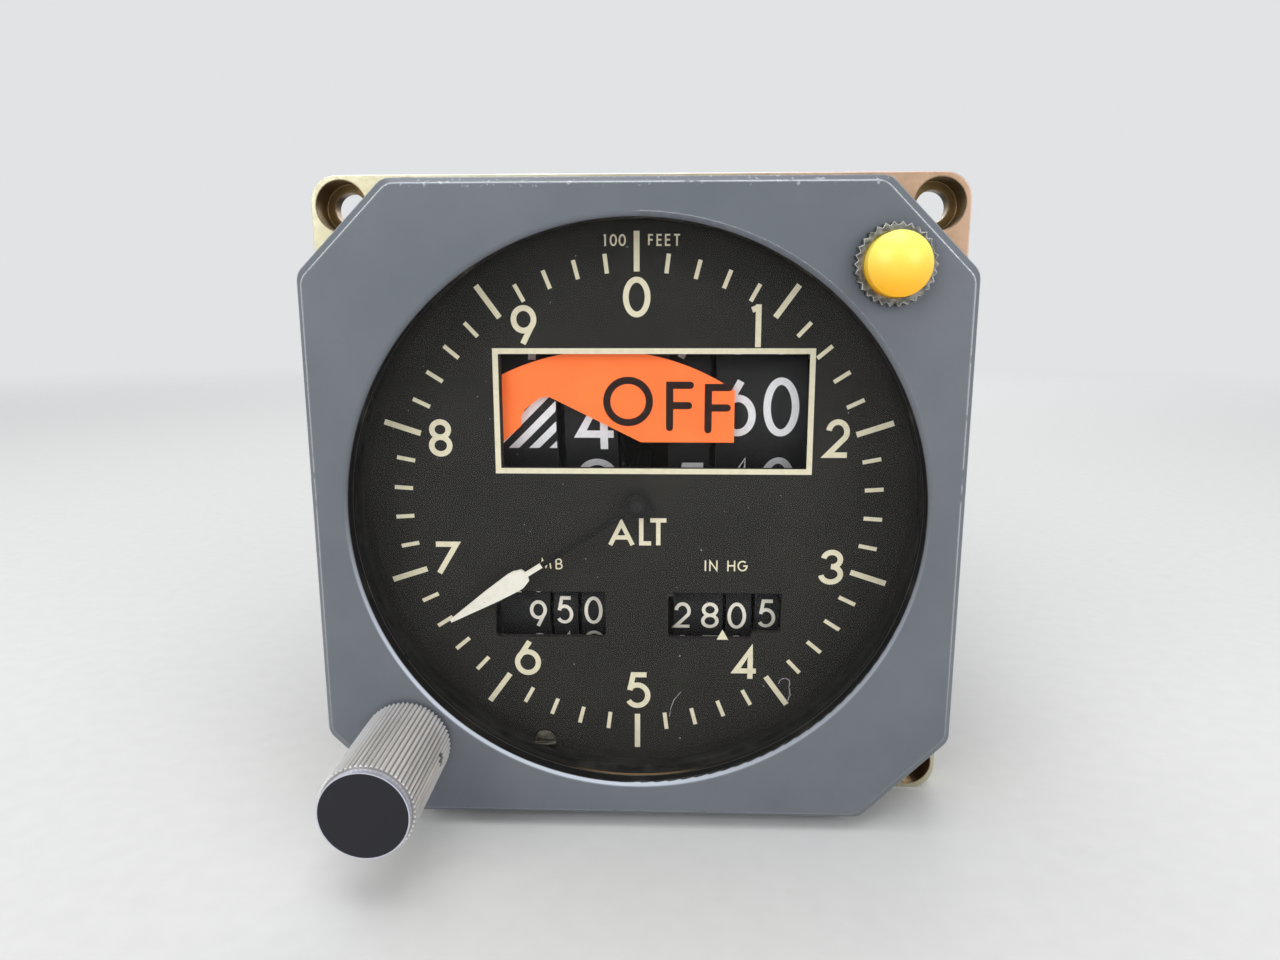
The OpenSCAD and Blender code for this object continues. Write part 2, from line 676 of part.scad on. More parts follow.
// Serrated ring round the lamp cap
module lamp_ring() color("gray") difference() {
  translate([lamp_x, 0, lamp_z]) along_y(face_y - lamp_ring_h, lamp_ring_h) polygon([
    for (i = [0:2 * lamp_points - 1])
      polar(lamp_ring_d / 2 - (i % 2) * lamp_point_depth, 180 / lamp_points * i)]);
  rod_y(face_y - lamp_ring_h - cut, lamp_ring_h + 2 * cut, lamp_x, lamp_z, lamp_r + slip_fit);
}

module lamp_socket() color("darkgray") difference() {
  rod_y(face_y, lamp_depth + lamp_tail, lamp_x, lamp_z, lamp_r + slip_fit + lamp_socket_wall);
  rod_y(face_y - cut, lamp_depth + cut, lamp_x, lamp_z, lamp_r + slip_fit);
  rod_y(face_y, lamp_depth + bulb_seat, lamp_x, lamp_z, bulb_r);
}

module lamp_bulb() color("lightyellow") {
  rod_y(face_y + bulb_setback, lamp_depth + bulb_seat - bulb_setback, lamp_x, lamp_z, bulb_r);
  translate([lamp_x, face_y + bulb_setback, lamp_z]) sphere(bulb_r);
}

// Amber cap: a hollow plunger with a domed end
module lamp_cap() color("gold") translate([lamp_x, face_y, lamp_z]) difference() {
  rotate([90, 0, 0]) rotate_extrude() union() {
    translate([0, -lamp_skirt]) square([lamp_r, lamp_skirt + lamp_cap_h - lamp_dome]);
    intersection() {
      translate([0, lamp_cap_h - dome_r]) circle(dome_r);
      translate([0, lamp_cap_h - lamp_dome]) square([lamp_r, lamp_dome]);
    }
  }
  rotate([90, 0, 0]) translate([0, 0, -lamp_skirt - cut])
    cylinder(h = lamp_skirt + cut + lamp_bore_rise, r = lamp_r - lamp_cap_wall);
}

module knob_bush() color("silver") difference() {
  rod_y(face_y, bezel_t + flange_t + knob_bush_tail, knob_x, knob_z, knob_bush_r);
  rod_y(face_y - cut, bezel_t + flange_t + knob_bush_tail + 2 * cut, knob_x, knob_z, knob_shaft_r + run_fit);
}

// Posts that tie the flange, both mechanism plates, the board and the rear cover
module frame_posts() color("silver") for (sx = [-1, 1], sz = [-1, 1])
  rod_y(0, rear_y, sx * post_x, sz * post_z, post_r);

module post_holes(y, len) for (sx = [-1, 1], sz = [-1, 1])
  rod_y(y - cut, len + 2 * cut, sx * post_x, sz * post_z, post_r);

// Side plate outline: it reaches every axle and shaft that it carries and ends on the gear plate
module side_outline() hull() {
  translate([baro_y, baro_z]) circle(baro_axle_r + side_margin, $fn = 32);
  translate([baro_transfer_y, baro_transfer_z]) circle(baro_transfer_r + side_margin, $fn = 32);
  translate([drum_y, counter_z]) circle(drum_axle_r + side_margin, $fn = 32);
  translate([alt_transfer_y, alt_transfer_z]) circle(alt_transfer_r + side_margin, $fn = 32);
  translate([gear_plate_y - side_foot[0], alt_transfer_z - side_foot[1]]) square(side_foot);
  translate([gear_plate_y - side_foot[0], baro_transfer_z]) square(side_foot);
}

module side_plate(x) difference() {
  along_x(x, side_t) side_outline();
  rod_x(x - cut, side_t + 2 * cut, drum_y, counter_z, drum_axle_r);
  rod_x(x - cut, side_t + 2 * cut, alt_transfer_y, alt_transfer_z, alt_transfer_r);
  rod_x(x - cut, side_t + 2 * cut, baro_y, baro_z, baro_axle_r);
  rod_x(x - cut, side_t + 2 * cut, baro_transfer_y, baro_transfer_z, baro_transfer_r);
  rod_x(x - cut, side_t + 2 * cut, lay_y, lay_z, lay_r + run_fit);
  children();
}

module left_side_plate() color("lightsteelblue") side_plate(left_x);

module right_side_plate() color("lightsteelblue") side_plate(right_x)
  rod_x(right_x - cut, side_t + 2 * cut, cross_y, 0, cross_shaft_r + run_fit);

// Bearing bracket for the inner end of the cross shaft, standing on the gear plate
module centre_bracket() color("lightsteelblue") difference() {
  translate([bracket_x, cross_y - bracket_nose, -bracket_w / 2])
    cube([bracket_t, gear_plate_y - cross_y + bracket_nose, bracket_w]);
  rod_x(bracket_x - cut, bracket_t + 2 * cut, cross_y, 0, cross_shaft_r + run_fit);
}

module mechanism_plate(y) difference() {
  along_y(y, plate_t) sharp_cut_square(case_in - plate_fit, case_cut);
  post_holes(y, plate_t);
  children();
}

// Slot that lets the rim of the cross gear turn through a plate
module cross_gear_slot(y) {
  half = sqrt(max(0, cross_tip_r * cross_tip_r - (y - cross_y) * (y - cross_y))) + 2 * gear_space;
  translate([alt_gear_x - gear_space, y - cut, -half])
    cube([gear_w + 2 * gear_space, plate_t + 2 * cut, 2 * half]);
}

module gear_plate() color("lightsteelblue") mechanism_plate(gear_plate_y) {
  rod_y(gear_plate_y - cut, plate_t + 2 * cut, 0, 0, pointer_shaft_r + run_fit);
  cross_gear_slot(gear_plate_y);
}

module motor_plate() color("lightsteelblue") mechanism_plate(motor_plate_y) {
  rod_y(motor_plate_y - cut, plate_t + 2 * cut, 0, 0, pointer_shaft_r + run_fit);
  rod_y(motor_plate_y - cut, plate_t + 2 * cut, motor_x, motor_z, rotor_shaft_r + run_fit);
  cross_gear_slot(motor_plate_y);
}

// Bracket beside the left side plate: knob shaft end, countershaft, potentiometer and flag motor
module aux_bracket() color("lightsteelblue") difference() {
  along_y(aux_y, aux_t) intersection() {
    sharp_cut_square(case_in - plate_fit, case_cut);
    translate([-case_w, knob_z - aux_below])
      square([case_w + left_x, flag_z + flag_motor_r + aux_above - knob_z + aux_below]);
  }
  rod_y(aux_y - cut, aux_t + 2 * cut, knob_x, knob_z, knob_shaft_r + run_fit);
  rod_y(aux_y - cut, aux_t + 2 * cut, countershaft_x, countershaft_z, countershaft_r + run_fit);
}

module altitude_axle() color("silver")
  rod_x(left_x, right_x + side_t - left_x, drum_y, counter_z, drum_axle_r);

// Transfer pinions on their fixed shaft, one beside each driven drum
module altitude_transfer_shaft() color("burlywood") {
  rod_x(left_x, right_x + side_t - left_x, alt_transfer_y, alt_transfer_z, alt_transfer_r);
  for (x = [tenk_x + tenk_w, thou_x + thou_w, hund_x + hund_w]) translate([0, alt_transfer_y, alt_transfer_z])
    along_x(x + ring_offset, transfer_w) gear(pinion_teeth, alt_transfer_module, alt_transfer_angle);
}

module baro_axle() color("silver") rod_x(left_x, right_x + side_t - left_x, baro_y, baro_z, baro_axle_r);

module baro_transfer_shaft() color("burlywood") {
  rod_x(left_x, right_x + side_t - left_x, baro_transfer_y, baro_transfer_z, baro_transfer_r);
  for (start = [mb_x, hg_x], i = [0, 1]) translate([0, baro_transfer_y, baro_transfer_z])
    along_x(baro_drum_x(start, i + 1) - baro_gap + baro_ring_offset, baro_transfer_w)
      gear(pinion_teeth, baro_transfer_module, baro_transfer_angle);
}

// Rotary solenoid that pulls the flag out of the window
module flag_motor() color("dimgray") difference() {
  rod_y(aux_y - flag_motor_len, flag_motor_len, flag_x, flag_z, flag_motor_r);
  rod_y(aux_y - flag_motor_len - cut, flag_motor_bore + cut, flag_x, flag_z, flag_pin_r + run_fit);
}

module baro_potentiometer() color("dimgray") difference() {
  union() {
    rod_y(aux_y + aux_t, pot_len, countershaft_x, countershaft_z, pot_r);
    translate([countershaft_x, aux_y + aux_t + pot_len / 2, countershaft_z + (pot_r + pot_tab[2]) / 2])
      cube(pot_tab, center = true);
  }
  rod_y(aux_y + aux_t - cut, pot_bore + cut, countershaft_x, countershaft_z, countershaft_r + run_fit);
}

module servo_motor() color("gray") difference() {
  union() {
    rod_y(motor_plate_y + plate_t, motor_len, motor_x, motor_z, motor_r);
    rod_y(motor_plate_y + plate_t + motor_len, motor_cap_len, motor_x, motor_z, motor_r - motor_cap_step);
  }
  rod_y(motor_plate_y + plate_t - cut, rotor_depth + cut, motor_x, motor_z, rotor_shaft_r + run_fit);
}

module feedback_synchro() color("gray") difference() {
  union() {
    rod_y(motor_plate_y + plate_t, synchro_len, 0, 0, motor_r);
    rod_y(motor_plate_y + plate_t + synchro_len, motor_cap_len, 0, 0, motor_r - motor_cap_step);
  }
  rod_y(motor_plate_y + plate_t - cut, synchro_bore + cut, 0, 0, pointer_shaft_r + run_fit);
}

// Servo amplifier board, threaded on the four posts
module amplifier_board() color("darkgreen") difference() {
  along_y(board_y, board_t) sharp_cut_square(case_in - plate_fit, case_cut);
  post_holes(board_y, board_t);
}

// Transformer, two capacitors and four power transistors on the board
module board_components() color("dimgray") {
  translate([transformer_x, board_y - transformer[1], -transformer[2] / 2]) cube(transformer);
  for (i = [0:1])
    rod_y(board_y - capacitor_h, capacitor_h, capacitor_x + i * capacitor_pitch, capacitor_z, capacitor_r);
  for (i = [0:3])
    translate([transistor_x + i * transistor_pitch, board_y - transistor[1], transistor_z]) cube(transistor);
}

module case_shell() color([0.12, 0.12, 0.13]) difference() {
  along_y(0, rear_y) sharp_cut_square(case_w / 2, case_cut);
  along_y(-cut, rear_y + 2 * cut) sharp_cut_square(case_in, case_cut - case_wall * (2 - sqrt(2)));
  for (a = [0:90:270]) rotate([0, a, 0]) translate([0, lug_len / 2, 0]) cylinder(h = case_w, r = screw_r);
}

// Screws through the middle of each side into the flange's lugs
module case_screws() color("silver") for (a = [0:90:270]) rotate([0, a, 0]) translate([0, lug_len / 2, 0])
  difference() {
    union() {
      translate([0, 0, case_in - slip_fit - lug_t]) cylinder(h = lug_t + slip_fit + case_wall, r = screw_r);
      translate([0, 0, case_w / 2]) cylinder(h = screw_head_h, r = screw_head_r);
    }
    translate([-screw_head_r - cut, -slot_w / 2, case_w / 2 + screw_head_h - slot_w])
      cube([2 * (screw_head_r + cut), slot_w, slot_w + cut]);
  }

// Rear cover with a register lip that enters the case
module rear_cover() color([0.14, 0.14, 0.15]) difference() {
  union() {
    along_y(rear_y, rear_t) sharp_cut_square(case_w / 2, case_cut);
    along_y(rear_y - register_len, register_len) difference() {
      sharp_cut_square(case_in - slip_fit, case_cut - case_wall * (2 - sqrt(2)));
      square([2 * post_x + 2 * post_d, case_w], center = true);
      sharp_cut_square(case_in - register_wall, case_cut);
    }
  }
  for (sx = [-1, 1], sz = [-1, 1]) {
    rod_y(rear_y - cut, rear_t + 2 * cut, sx * post_x, sz * post_z, screw_r);
    rod_y(rear_y - cut, rear_t + 2 * cut, sx * connector_screw, sz * connector_screw, screw_r);
  }
  rod_y(rear_y - cut, rear_t + 2 * cut, 0, 0, connector_d / 2 - connector_wall);
}

module rear_screw(y, x, z, depth) difference() {
  union() {
    rod_y(y - depth, depth, x, z, screw_r);
    rod_y(y, screw_head_h, x, z, screw_head_r);
  }
  translate([x - screw_head_r - cut, y + screw_head_h - slot_w, z - slot_w / 2])
    cube([2 * (screw_head_r + cut), slot_w + cut, slot_w]);
}

// Four screws into the posts and four that hold the connector
module rear_screws() color("silver") for (sx = [-1, 1], sz = [-1, 1]) {
  rear_screw(rear_y + rear_t, sx * post_x, sz * post_z, rear_t);
  rear_screw(rear_y + rear_t + connector_flange_t, sx * connector_screw, sz * connector_screw,
    rear_t + connector_flange_t);
}

// Circular connector: square flange and plain barrel
module connector_shell() color("darkolivegreen") difference() {
  union() {
    along_y(rear_y + rear_t, connector_flange_t) round_square(connector_flange / 2, connector_flange_r);
    rod_y(rear_y + rear_t, connector_len, 0, 0, connector_d / 2);
  }
  rod_y(rear_y + rear_t - cut, connector_len + 2 * cut, 0, 0, connector_d / 2 - connector_wall);
  for (sx = [-1, 1], sz = [-1, 1])
    rod_y(rear_y + rear_t - cut, connector_flange_t + 2 * cut, sx * connector_screw, sz * connector_screw,
      screw_r);
}

// Insulating insert with three rings of contacts, its face set back in the barrel
module connector_insert() color("black") {
  insert_end = rear_y + rear_t + connector_len - connector_recess;
  rod_y(rear_y - insert_tail, insert_end - rear_y + insert_tail, 0, 0, connector_d / 2 - connector_wall);
  for (ring = [0:2], i = [1:max(1, 6 * ring)]) rotate([0, 360 / max(1, 6 * ring) * i, 0])
    rod_y(insert_end, connector_recess - contact_set, ring * contact_pitch, 0, contact_r);
}

// Pointer: hub, slim stem and a leaf-shaped blade, drawn along +X and turned to the reading
module pointer() color("ivory") translate([0, pointer_y, 0]) rotate([0, -pointer_angle, 0]) difference() {
  union() {
    rod_y(0, pointer_t, 0, 0, pointer_hub_r);
    along_y(0, pointer_t) polygon([for (q = pointer_outline) [q[0] * pointer_len, q[1]],
      for (q = reversed(pointer_outline)) [q[0] * pointer_len, -q[1]]]);
  }
  rod_y(-cut, pointer_t + 2 * cut, 0, 0, pointer_nose_r);
}

module pointer_shaft() color("silver") {
  rod_y(pointer_y + pointer_t, pointer_shaft_end - pointer_y - pointer_t, 0, 0, pointer_shaft_r);
  rod_y(pointer_y, pointer_t, 0, 0, pointer_nose_r);
}

module crown_wheel() color("goldenrod")
  translate([0, crown_y, 0]) crown(crown_teeth, crown_module, crown_face, crown_t, pointer_shaft_r);

module main_gear() color("goldenrod") difference() {
  along_y(main_gear_y, gear_w) gear(main_teeth, main_module, rotor_angle);
  rod_y(main_gear_y - cut, gear_w + 2 * cut, 0, 0, pointer_shaft_r);
  for (a = [45:90:315]) rotate([0, a, 0]) 
    rod_y(main_gear_y - cut, gear_w + 2 * cut, main_hole_at, 0, main_hole_r);
}

// Cross shaft with its integral pinion that meshes with the crown wheel
module cross_shaft() color("silver") translate([0, cross_y, 0]) {
  rod_x(crown_r - crown_face / 2, right_x + side_t - crown_r + crown_face / 2, 0, 0, cross_shaft_r);
  along_x(crown_r - crown_face / 2 - pinion_overhang, crown_face + 2 * pinion_overhang)
    gear(crown_pinion_teeth, crown_module, 0);
}

module cross_gear() color("goldenrod") translate([0, cross_y, 0]) difference() {
  along_x(alt_gear_x, gear_w) gear(cross_teeth, alt_module, cross_angle + 180);
  rod_x(alt_gear_x - cut, gear_w + 2 * cut, 0, 0, cross_shaft_r);
}

module motor_rotor() color("silver") {
  rod_y(main_gear_y - rotor_overhang, motor_plate_y + plate_t + rotor_depth - main_gear_y, motor_x, motor_z,
    rotor_shaft_r);
  translate([motor_x, 0, motor_z]) along_y(main_gear_y - rotor_overhang, gear_w + 2 * rotor_overhang)
    gear(rotor_teeth, main_module, rotor_angle + 180 + 180 / rotor_teeth);
}

module ten_thousands_drum() color("black") altitude_drum(tenk_x, tenk_w);
module thousands_drum() color("black") altitude_drum(thou_x, thou_w);
module hundreds_drum() color("black") altitude_drum(hund_x, hund_w);

// Fast drum, driven by the cross gear
module tens_drum() color("black") {
  drum_body(tens_x, tens_w, drum_y, counter_z, drum_r, drum_wall, hub_r, alt_gear_x) altitude_bore();
  difference() {
    translate([0, drum_y, counter_z]) along_x(alt_gear_x, gear_w)
      gear(tens_teeth, alt_module, cross_angle + 180 / tens_teeth);
    altitude_bore();
  }
}

// Flag plate: its curved top clears the flange's bore once the flag has swung up
module off_flag() color("orangered") {
  along_y(flag_y, flag_t) {
    intersection() {
      translate([flag_arc_x, flag_arc_z]) circle(flag_arc_r, $fn = 180);
      polygon(concat(flag_edge, [[flag_x + flag_arm, flag_z - flag_arm],
        [flag_x - flag_arm, flag_z + flag_arm], flag_back]));
    }
    translate([flag_x, flag_z]) circle(flag_hub_r);
  }
  rod_y(flag_y + flag_t, flag_pin_end - flag_y - flag_t, flag_x, flag_z, flag_pin_r);
}

// Fluted knob with a plain bright front rim, a recess for its cap and a set screw hole
module knob() color("silver") difference() {
  union() {
    translate([knob_x, 0, knob_z]) along_y(knob_y + knob_rim, knob_len - knob_rim) polygon([
      for (i = [0:2 * knob_flutes - 1]) polar(knob_r - (i % 2) * flute_depth, 180 / knob_flutes * i)]);
    translate([knob_x, knob_y, knob_z]) rotate([-90, 0, 0])
      cylinder(h = knob_rim, r1 = knob_cap_d / 2 + knob_front_edge, r2 = knob_r - flute_depth - slip_fit);
  }
  rod_y(knob_y - cut, knob_cap_t + cut, knob_x, knob_z, knob_cap_d / 2);
  rod_y(knob_bore_y, knob_len, knob_x, knob_z, knob_shaft_r);
  rod_x(knob_x, knob_d, face_y - knob_gap - set_screw_at, knob_z, set_screw_r);
}

module knob_cap() color("black") rod_y(knob_y, knob_cap_t, knob_x, knob_z, knob_cap_d / 2);

module knob_shaft() color("silver") {
  rod_y(knob_bore_y, aux_y + aux_t - knob_bore_y, knob_x, knob_z, knob_shaft_r);
  translate([knob_x, 0, knob_z]) along_y(knob_gear_y, knob_gear_w)
    gear(knob_teeth, knob_module, knob_gear_angle);
}

// Countershaft: spur gear driven by the knob, crown wheel that drives the layshaft
module baro_countershaft() color("goldenrod") {
  translate([countershaft_x, 0, countershaft_z]) {
    rod_y(countershaft_y, aux_y + aux_t + pot_bore - gear_space - countershaft_y, 0, 0, countershaft_r);
    along_y(knob_gear_y, knob_gear_w)
      gear(counter_teeth, knob_module, knob_gear_angle + 180 + 180 / counter_teeth);
    translate([0, baro_crown_y, 0]) mirror([0, 1, 0])
      crown(baro_crown_teeth, baro_crown_module, baro_crown_face, baro_crown_t, countershaft_r);
  }
}

// Layshaft: pinion at the crown wheel, one spur gear for each counter
module baro_layshaft() color("goldenrod") translate([0, lay_y, lay_z]) {
  pinion_x = countershaft_x + baro_crown_r - baro_crown_face / 2 - pinion_overhang;
  rod_x(pinion_x, right_x + side_t - pinion_x, 0, 0, lay_r);
  along_x(pinion_x, baro_crown_face + 2 * pinion_overhang) gear(baro_pinion_teeth, baro_crown_module, 180);
  along_x(mb_gear_x, baro_gear_w) gear(mb_lay_teeth, mb_module, lay_angle);
  along_x(hg_gear_x, baro_gear_w) gear(hg_lay_teeth, hg_module, lay_angle);
}

module mb_hundreds_drum() color("black") baro_drum(mb_x, 0);
module mb_tens_drum() color("black") baro_drum(mb_x, 1);
module mb_units_drum() color("black") baro_driven_drum(mb_x, mb_teeth, mb_module);
module hg_inches_drum() color("black") baro_drum(hg_x, 0);
module hg_tenths_drum() color("black") baro_drum(hg_x, 1);
module hg_hundredths_drum() color("black") baro_driven_drum(hg_x, hg_teeth, hg_module);

bezel();
mounting_flange();
bezel_screws();
cover_glass();
glass_gasket();
dial_ring();
dial_plate();
dial_screw();
pointer_bush();
lamp_ring();
lamp_socket();
lamp_bulb();
lamp_cap();
knob_bush();
frame_posts();
left_side_plate();
right_side_plate();
centre_bracket();
gear_plate();
motor_plate();
aux_bracket();
altitude_axle();
altitude_transfer_shaft();
baro_axle();
baro_transfer_shaft();
flag_motor();
baro_potentiometer();
servo_motor();
feedback_synchro();
amplifier_board();
board_components();
case_shell();
case_screws();
rear_cover();
rear_screws();
connector_shell();
connector_insert();
pointer();
pointer_shaft();
crown_wheel();
main_gear();
cross_shaft();
cross_gear();
motor_rotor();
ten_thousands_drum();
thousands_drum();
hundreds_drum();
tens_drum();
off_flag();
knob();
knob_cap();
knob_shaft();
baro_countershaft();
baro_layshaft();
mb_hundreds_drum();
mb_tens_drum();
mb_units_drum();
hg_inches_drum();
hg_tenths_drum();
hg_hundredths_drum();
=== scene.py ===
import json
import math
import random

import bmesh
import bpy
from mathutils import Matrix, Vector


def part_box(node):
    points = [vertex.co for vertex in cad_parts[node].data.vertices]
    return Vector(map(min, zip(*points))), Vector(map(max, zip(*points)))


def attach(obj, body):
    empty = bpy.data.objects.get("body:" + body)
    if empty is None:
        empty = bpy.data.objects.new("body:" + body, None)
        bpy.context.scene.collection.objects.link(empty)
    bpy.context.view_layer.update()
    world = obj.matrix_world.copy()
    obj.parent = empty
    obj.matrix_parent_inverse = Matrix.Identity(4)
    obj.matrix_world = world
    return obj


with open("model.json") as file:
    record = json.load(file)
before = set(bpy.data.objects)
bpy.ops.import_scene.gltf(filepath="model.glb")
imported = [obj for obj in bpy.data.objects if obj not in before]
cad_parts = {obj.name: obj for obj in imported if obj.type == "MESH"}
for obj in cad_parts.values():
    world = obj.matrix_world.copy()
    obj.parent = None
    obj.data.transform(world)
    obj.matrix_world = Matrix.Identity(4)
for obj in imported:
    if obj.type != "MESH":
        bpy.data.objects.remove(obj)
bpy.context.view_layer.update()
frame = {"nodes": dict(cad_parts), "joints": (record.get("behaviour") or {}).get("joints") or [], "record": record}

# Viewpoint: a wide lens close to the dial, a little above its centre and looking slightly down.
# Sizes in this file are millimetres in the part's own frame and become metres through MM.
MM = 0.001
image_width = 1280
focal_pixels = 888
sensor_width = 36
eye = Vector((4.36, -127.37, 26.08)) * MM
pitch = math.radians(-10.95)
yaw = math.radians(1.92)
roll = math.radians(-0.07)
camera = bpy.data.objects.new("camera", bpy.data.cameras.new("camera"))
camera.data.sensor_fit = "HORIZONTAL"
camera.data.sensor_width = sensor_width
camera.data.lens = sensor_width * focal_pixels / image_width
camera.data.clip_start = 5 * MM
aim = Matrix.Rotation(yaw, 4, "Z") @ Matrix.Rotation(math.pi / 2 + pitch, 4, "X")
camera.matrix_world = Matrix.Translation(eye) @ aim @ Matrix.Rotation(roll, 4, "Z")
bpy.context.scene.collection.objects.link(camera)
bpy.context.scene.camera = camera
bpy.context.scene.view_settings.view_transform = "Standard"


# Studio: a plain pale sheet under the flange's lower edge, which fades into the backdrop further out.
# A soft lamp hangs overhead, with three large fills around the object.
# The world gives the even backdrop and a low ambient light.
def linear(red, green, blue):
    """Colour given as 0-255 display values, as the linear values that shaders take."""
    shares = (red / 255, green / 255, blue / 255)
    return tuple(s / 12.92 if s <= 0.04045 else ((s + 0.055) / 1.055) ** 2.4 for s in shares)


def add(tree, kind, inputs=None, **settings):
    """New node with its settings; an input takes a value or another node's output socket."""
    node = tree.nodes.new(kind)
    for name, value in settings.items():
        setattr(node, name, value)
    for name, value in (inputs or {}).items():
        if isinstance(value, bpy.types.NodeSocket):
            tree.links.new(value, node.inputs[name])
        else:
            node.inputs[name].default_value = value
    return node


def new_material(name, colour, roughness, metallic=0.0):
    """Material with a Principled surface; returns the material, its node tree and the surface."""
    material = bpy.data.materials.new(name)
    material.use_nodes = True
    surface = material.node_tree.nodes["Principled BSDF"]
    surface.inputs["Base Color"].default_value = (*colour, 1)
    surface.inputs["Roughness"].default_value = roughness
    surface.inputs["Metallic"].default_value = metallic
    return material, material.node_tree, surface


def mix_colour(tree, mask, first, second, blend="MIX"):
    """Colour that goes from first to second with the mask; each is a linear colour or a socket."""
    node = add(tree, "ShaderNodeMix", {"Factor": mask}, data_type="RGBA", blend_type=blend)
    for name, colour in (("A", first), ("B", second)):
        socket = next(s for s in node.inputs if s.name == name and s.type == "RGBA")
        if isinstance(colour, bpy.types.NodeSocket):
            tree.links.new(colour, socket)
        else:
            socket.default_value = (*colour, 1)
    return next(s for s in node.outputs if s.type == "RGBA")


def ramp(tree, value, low, high):
    """Value rescaled so that low gives 0 and high gives 1, held inside that range."""
    return add(tree, "ShaderNodeMapRange", {"Value": value, "From Min": low, "From Max": high},
        interpolation_type="SMOOTHSTEP").outputs["Result"]


def surface_point(tree):
    """Place of the shaded point, in metres; on the part's own nodes this is the part's frame."""
    return add(tree, "ShaderNodeTexCoord").outputs["Object"]


floor_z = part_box("mounting_flange")[0].z
floor_half = 1.5
fade_near, fade_far = 0.3, 1.1
floor_mesh = bpy.data.meshes.new("floor")
floor_mesh.from_pydata([(x * floor_half, y * floor_half, floor_z) for x, y in
    ((-1, -1), (1, -1), (1, 1), (-1, 1))], [], [(0, 1, 2, 3)])
floor = bpy.data.objects.new("floor", floor_mesh)
bpy.context.scene.collection.objects.link(floor)
floor_paper, tree, surface = new_material("floor_paper", linear(232, 232, 231), 0.9)
fibres = add(tree, "ShaderNodeTexNoise", {"Scale": 900.0, "Detail": 3.0})
tone = mix_colour(tree, fibres.outputs["Fac"], linear(228, 228, 227), linear(236, 236, 235))
tree.links.new(tone, surface.inputs["Base Color"])
spread = add(tree, "ShaderNodeVectorMath", {0: surface_point(tree)}, operation="LENGTH").outputs["Value"]
beyond = add(tree, "ShaderNodeBsdfTransparent")
sheet = add(tree, "ShaderNodeMixShader",
    {0: ramp(tree, spread, fade_near, fade_far), 1: surface.outputs[0], 2: beyond.outputs[0]})
tree.links.new(sheet.outputs[0], tree.nodes["Material Output"].inputs["Surface"])
floor_mesh.materials.append(floor_paper)

world = bpy.data.worlds.new("studio")
world.use_nodes = True
bpy.context.scene.world = world
tree = world.node_tree
backdrop = tree.nodes["Background"]
backdrop.inputs["Color"].default_value = (*linear(225, 227, 229), 1)
ambient = 0.5
rays = add(tree, "ShaderNodeLightPath").outputs
seen = rays["Is Camera Ray"]
for kind in ("Is Transmission Ray", "Is Glossy Ray"):
    seen = add(tree, "ShaderNodeMath", {0: seen, 1: rays[kind]}, operation="MAXIMUM").outputs[0]
strength = add(tree, "ShaderNodeMix", {"Factor": seen, "A": ambient, "B": 1.0}, data_type="FLOAT")
tree.links.new(strength.outputs["Result"], backdrop.inputs["Strength"])

# Each lamp as name, place, target, width, height and power in watts
for name, place, target, width, height, power in (
        ("overhead", (-60, -40, 640), (0, 0, 0), 900, 420, 2.5),
        ("left_fill", (-440, -620, 330), (0, 0, 0), 500, 500, 2.05),
        ("right_fill", (500, -540, 260), (0, 20, 0), 420, 420, 1.4),
        ("back_fill", (150, 900, 420), (0, 80, 0), 700, 500, 2.4)):
    lamp = bpy.data.objects.new(name, bpy.data.lights.new(name, "AREA"))
    lamp.data.shape = "RECTANGLE"
    lamp.data.size = width * MM
    lamp.data.size_y = height * MM
    lamp.data.energy = power
    lamp.location = Vector(place) * MM
    lamp.rotation_euler = (Vector(target) * MM - lamp.location).to_track_quat("-Z", "Y").to_euler()
    bpy.context.scene.collection.objects.link(lamp)


# Mounting flange: a machined light-alloy square with a pale golden conversion coating.
# It carries the bezel in front, the case and the mechanism behind, and seats on the panel.
# Four counterbored corner holes take the panel screws.
def new_group(name, inputs, outputs):
    """Empty shader group with float inputs (name, default) and outputs (name, socket type)."""
    group = bpy.data.node_groups.new(name, "ShaderNodeTree")
    for label, value in inputs:
        socket = group.interface.new_socket(label, in_out="INPUT", socket_type="NodeSocketFloat")
        socket.default_value = value
    for label, kind in outputs:
        group.interface.new_socket(label, in_out="OUTPUT", socket_type=kind)
    return group, group.nodes.new("NodeGroupInput").outputs, group.nodes.new("NodeGroupOutput").inputs


def times(tree, first, second):
    """Product of two masks."""
    return add(tree, "ShaderNodeMath", {0: first, 1: second}, operation="MULTIPLY").outputs[0]


# Soft blotches over the surface, at a size given in blotches per metre
mottle, enter, leave = new_group("mottle", (("Scale", 120.0), ("Low", 0.35), ("High", 0.65)),
    (("Mask", "NodeSocketFloat"),))
cloud = add(mottle, "ShaderNodeTexNoise",
    {"Vector": surface_point(mottle), "Scale": enter["Scale"], "Detail": 5.0, "Roughness": 0.6})
mottle.links.new(ramp(mottle, cloud.outputs["Fac"], enter["Low"], enter["High"]), leave["Mask"])

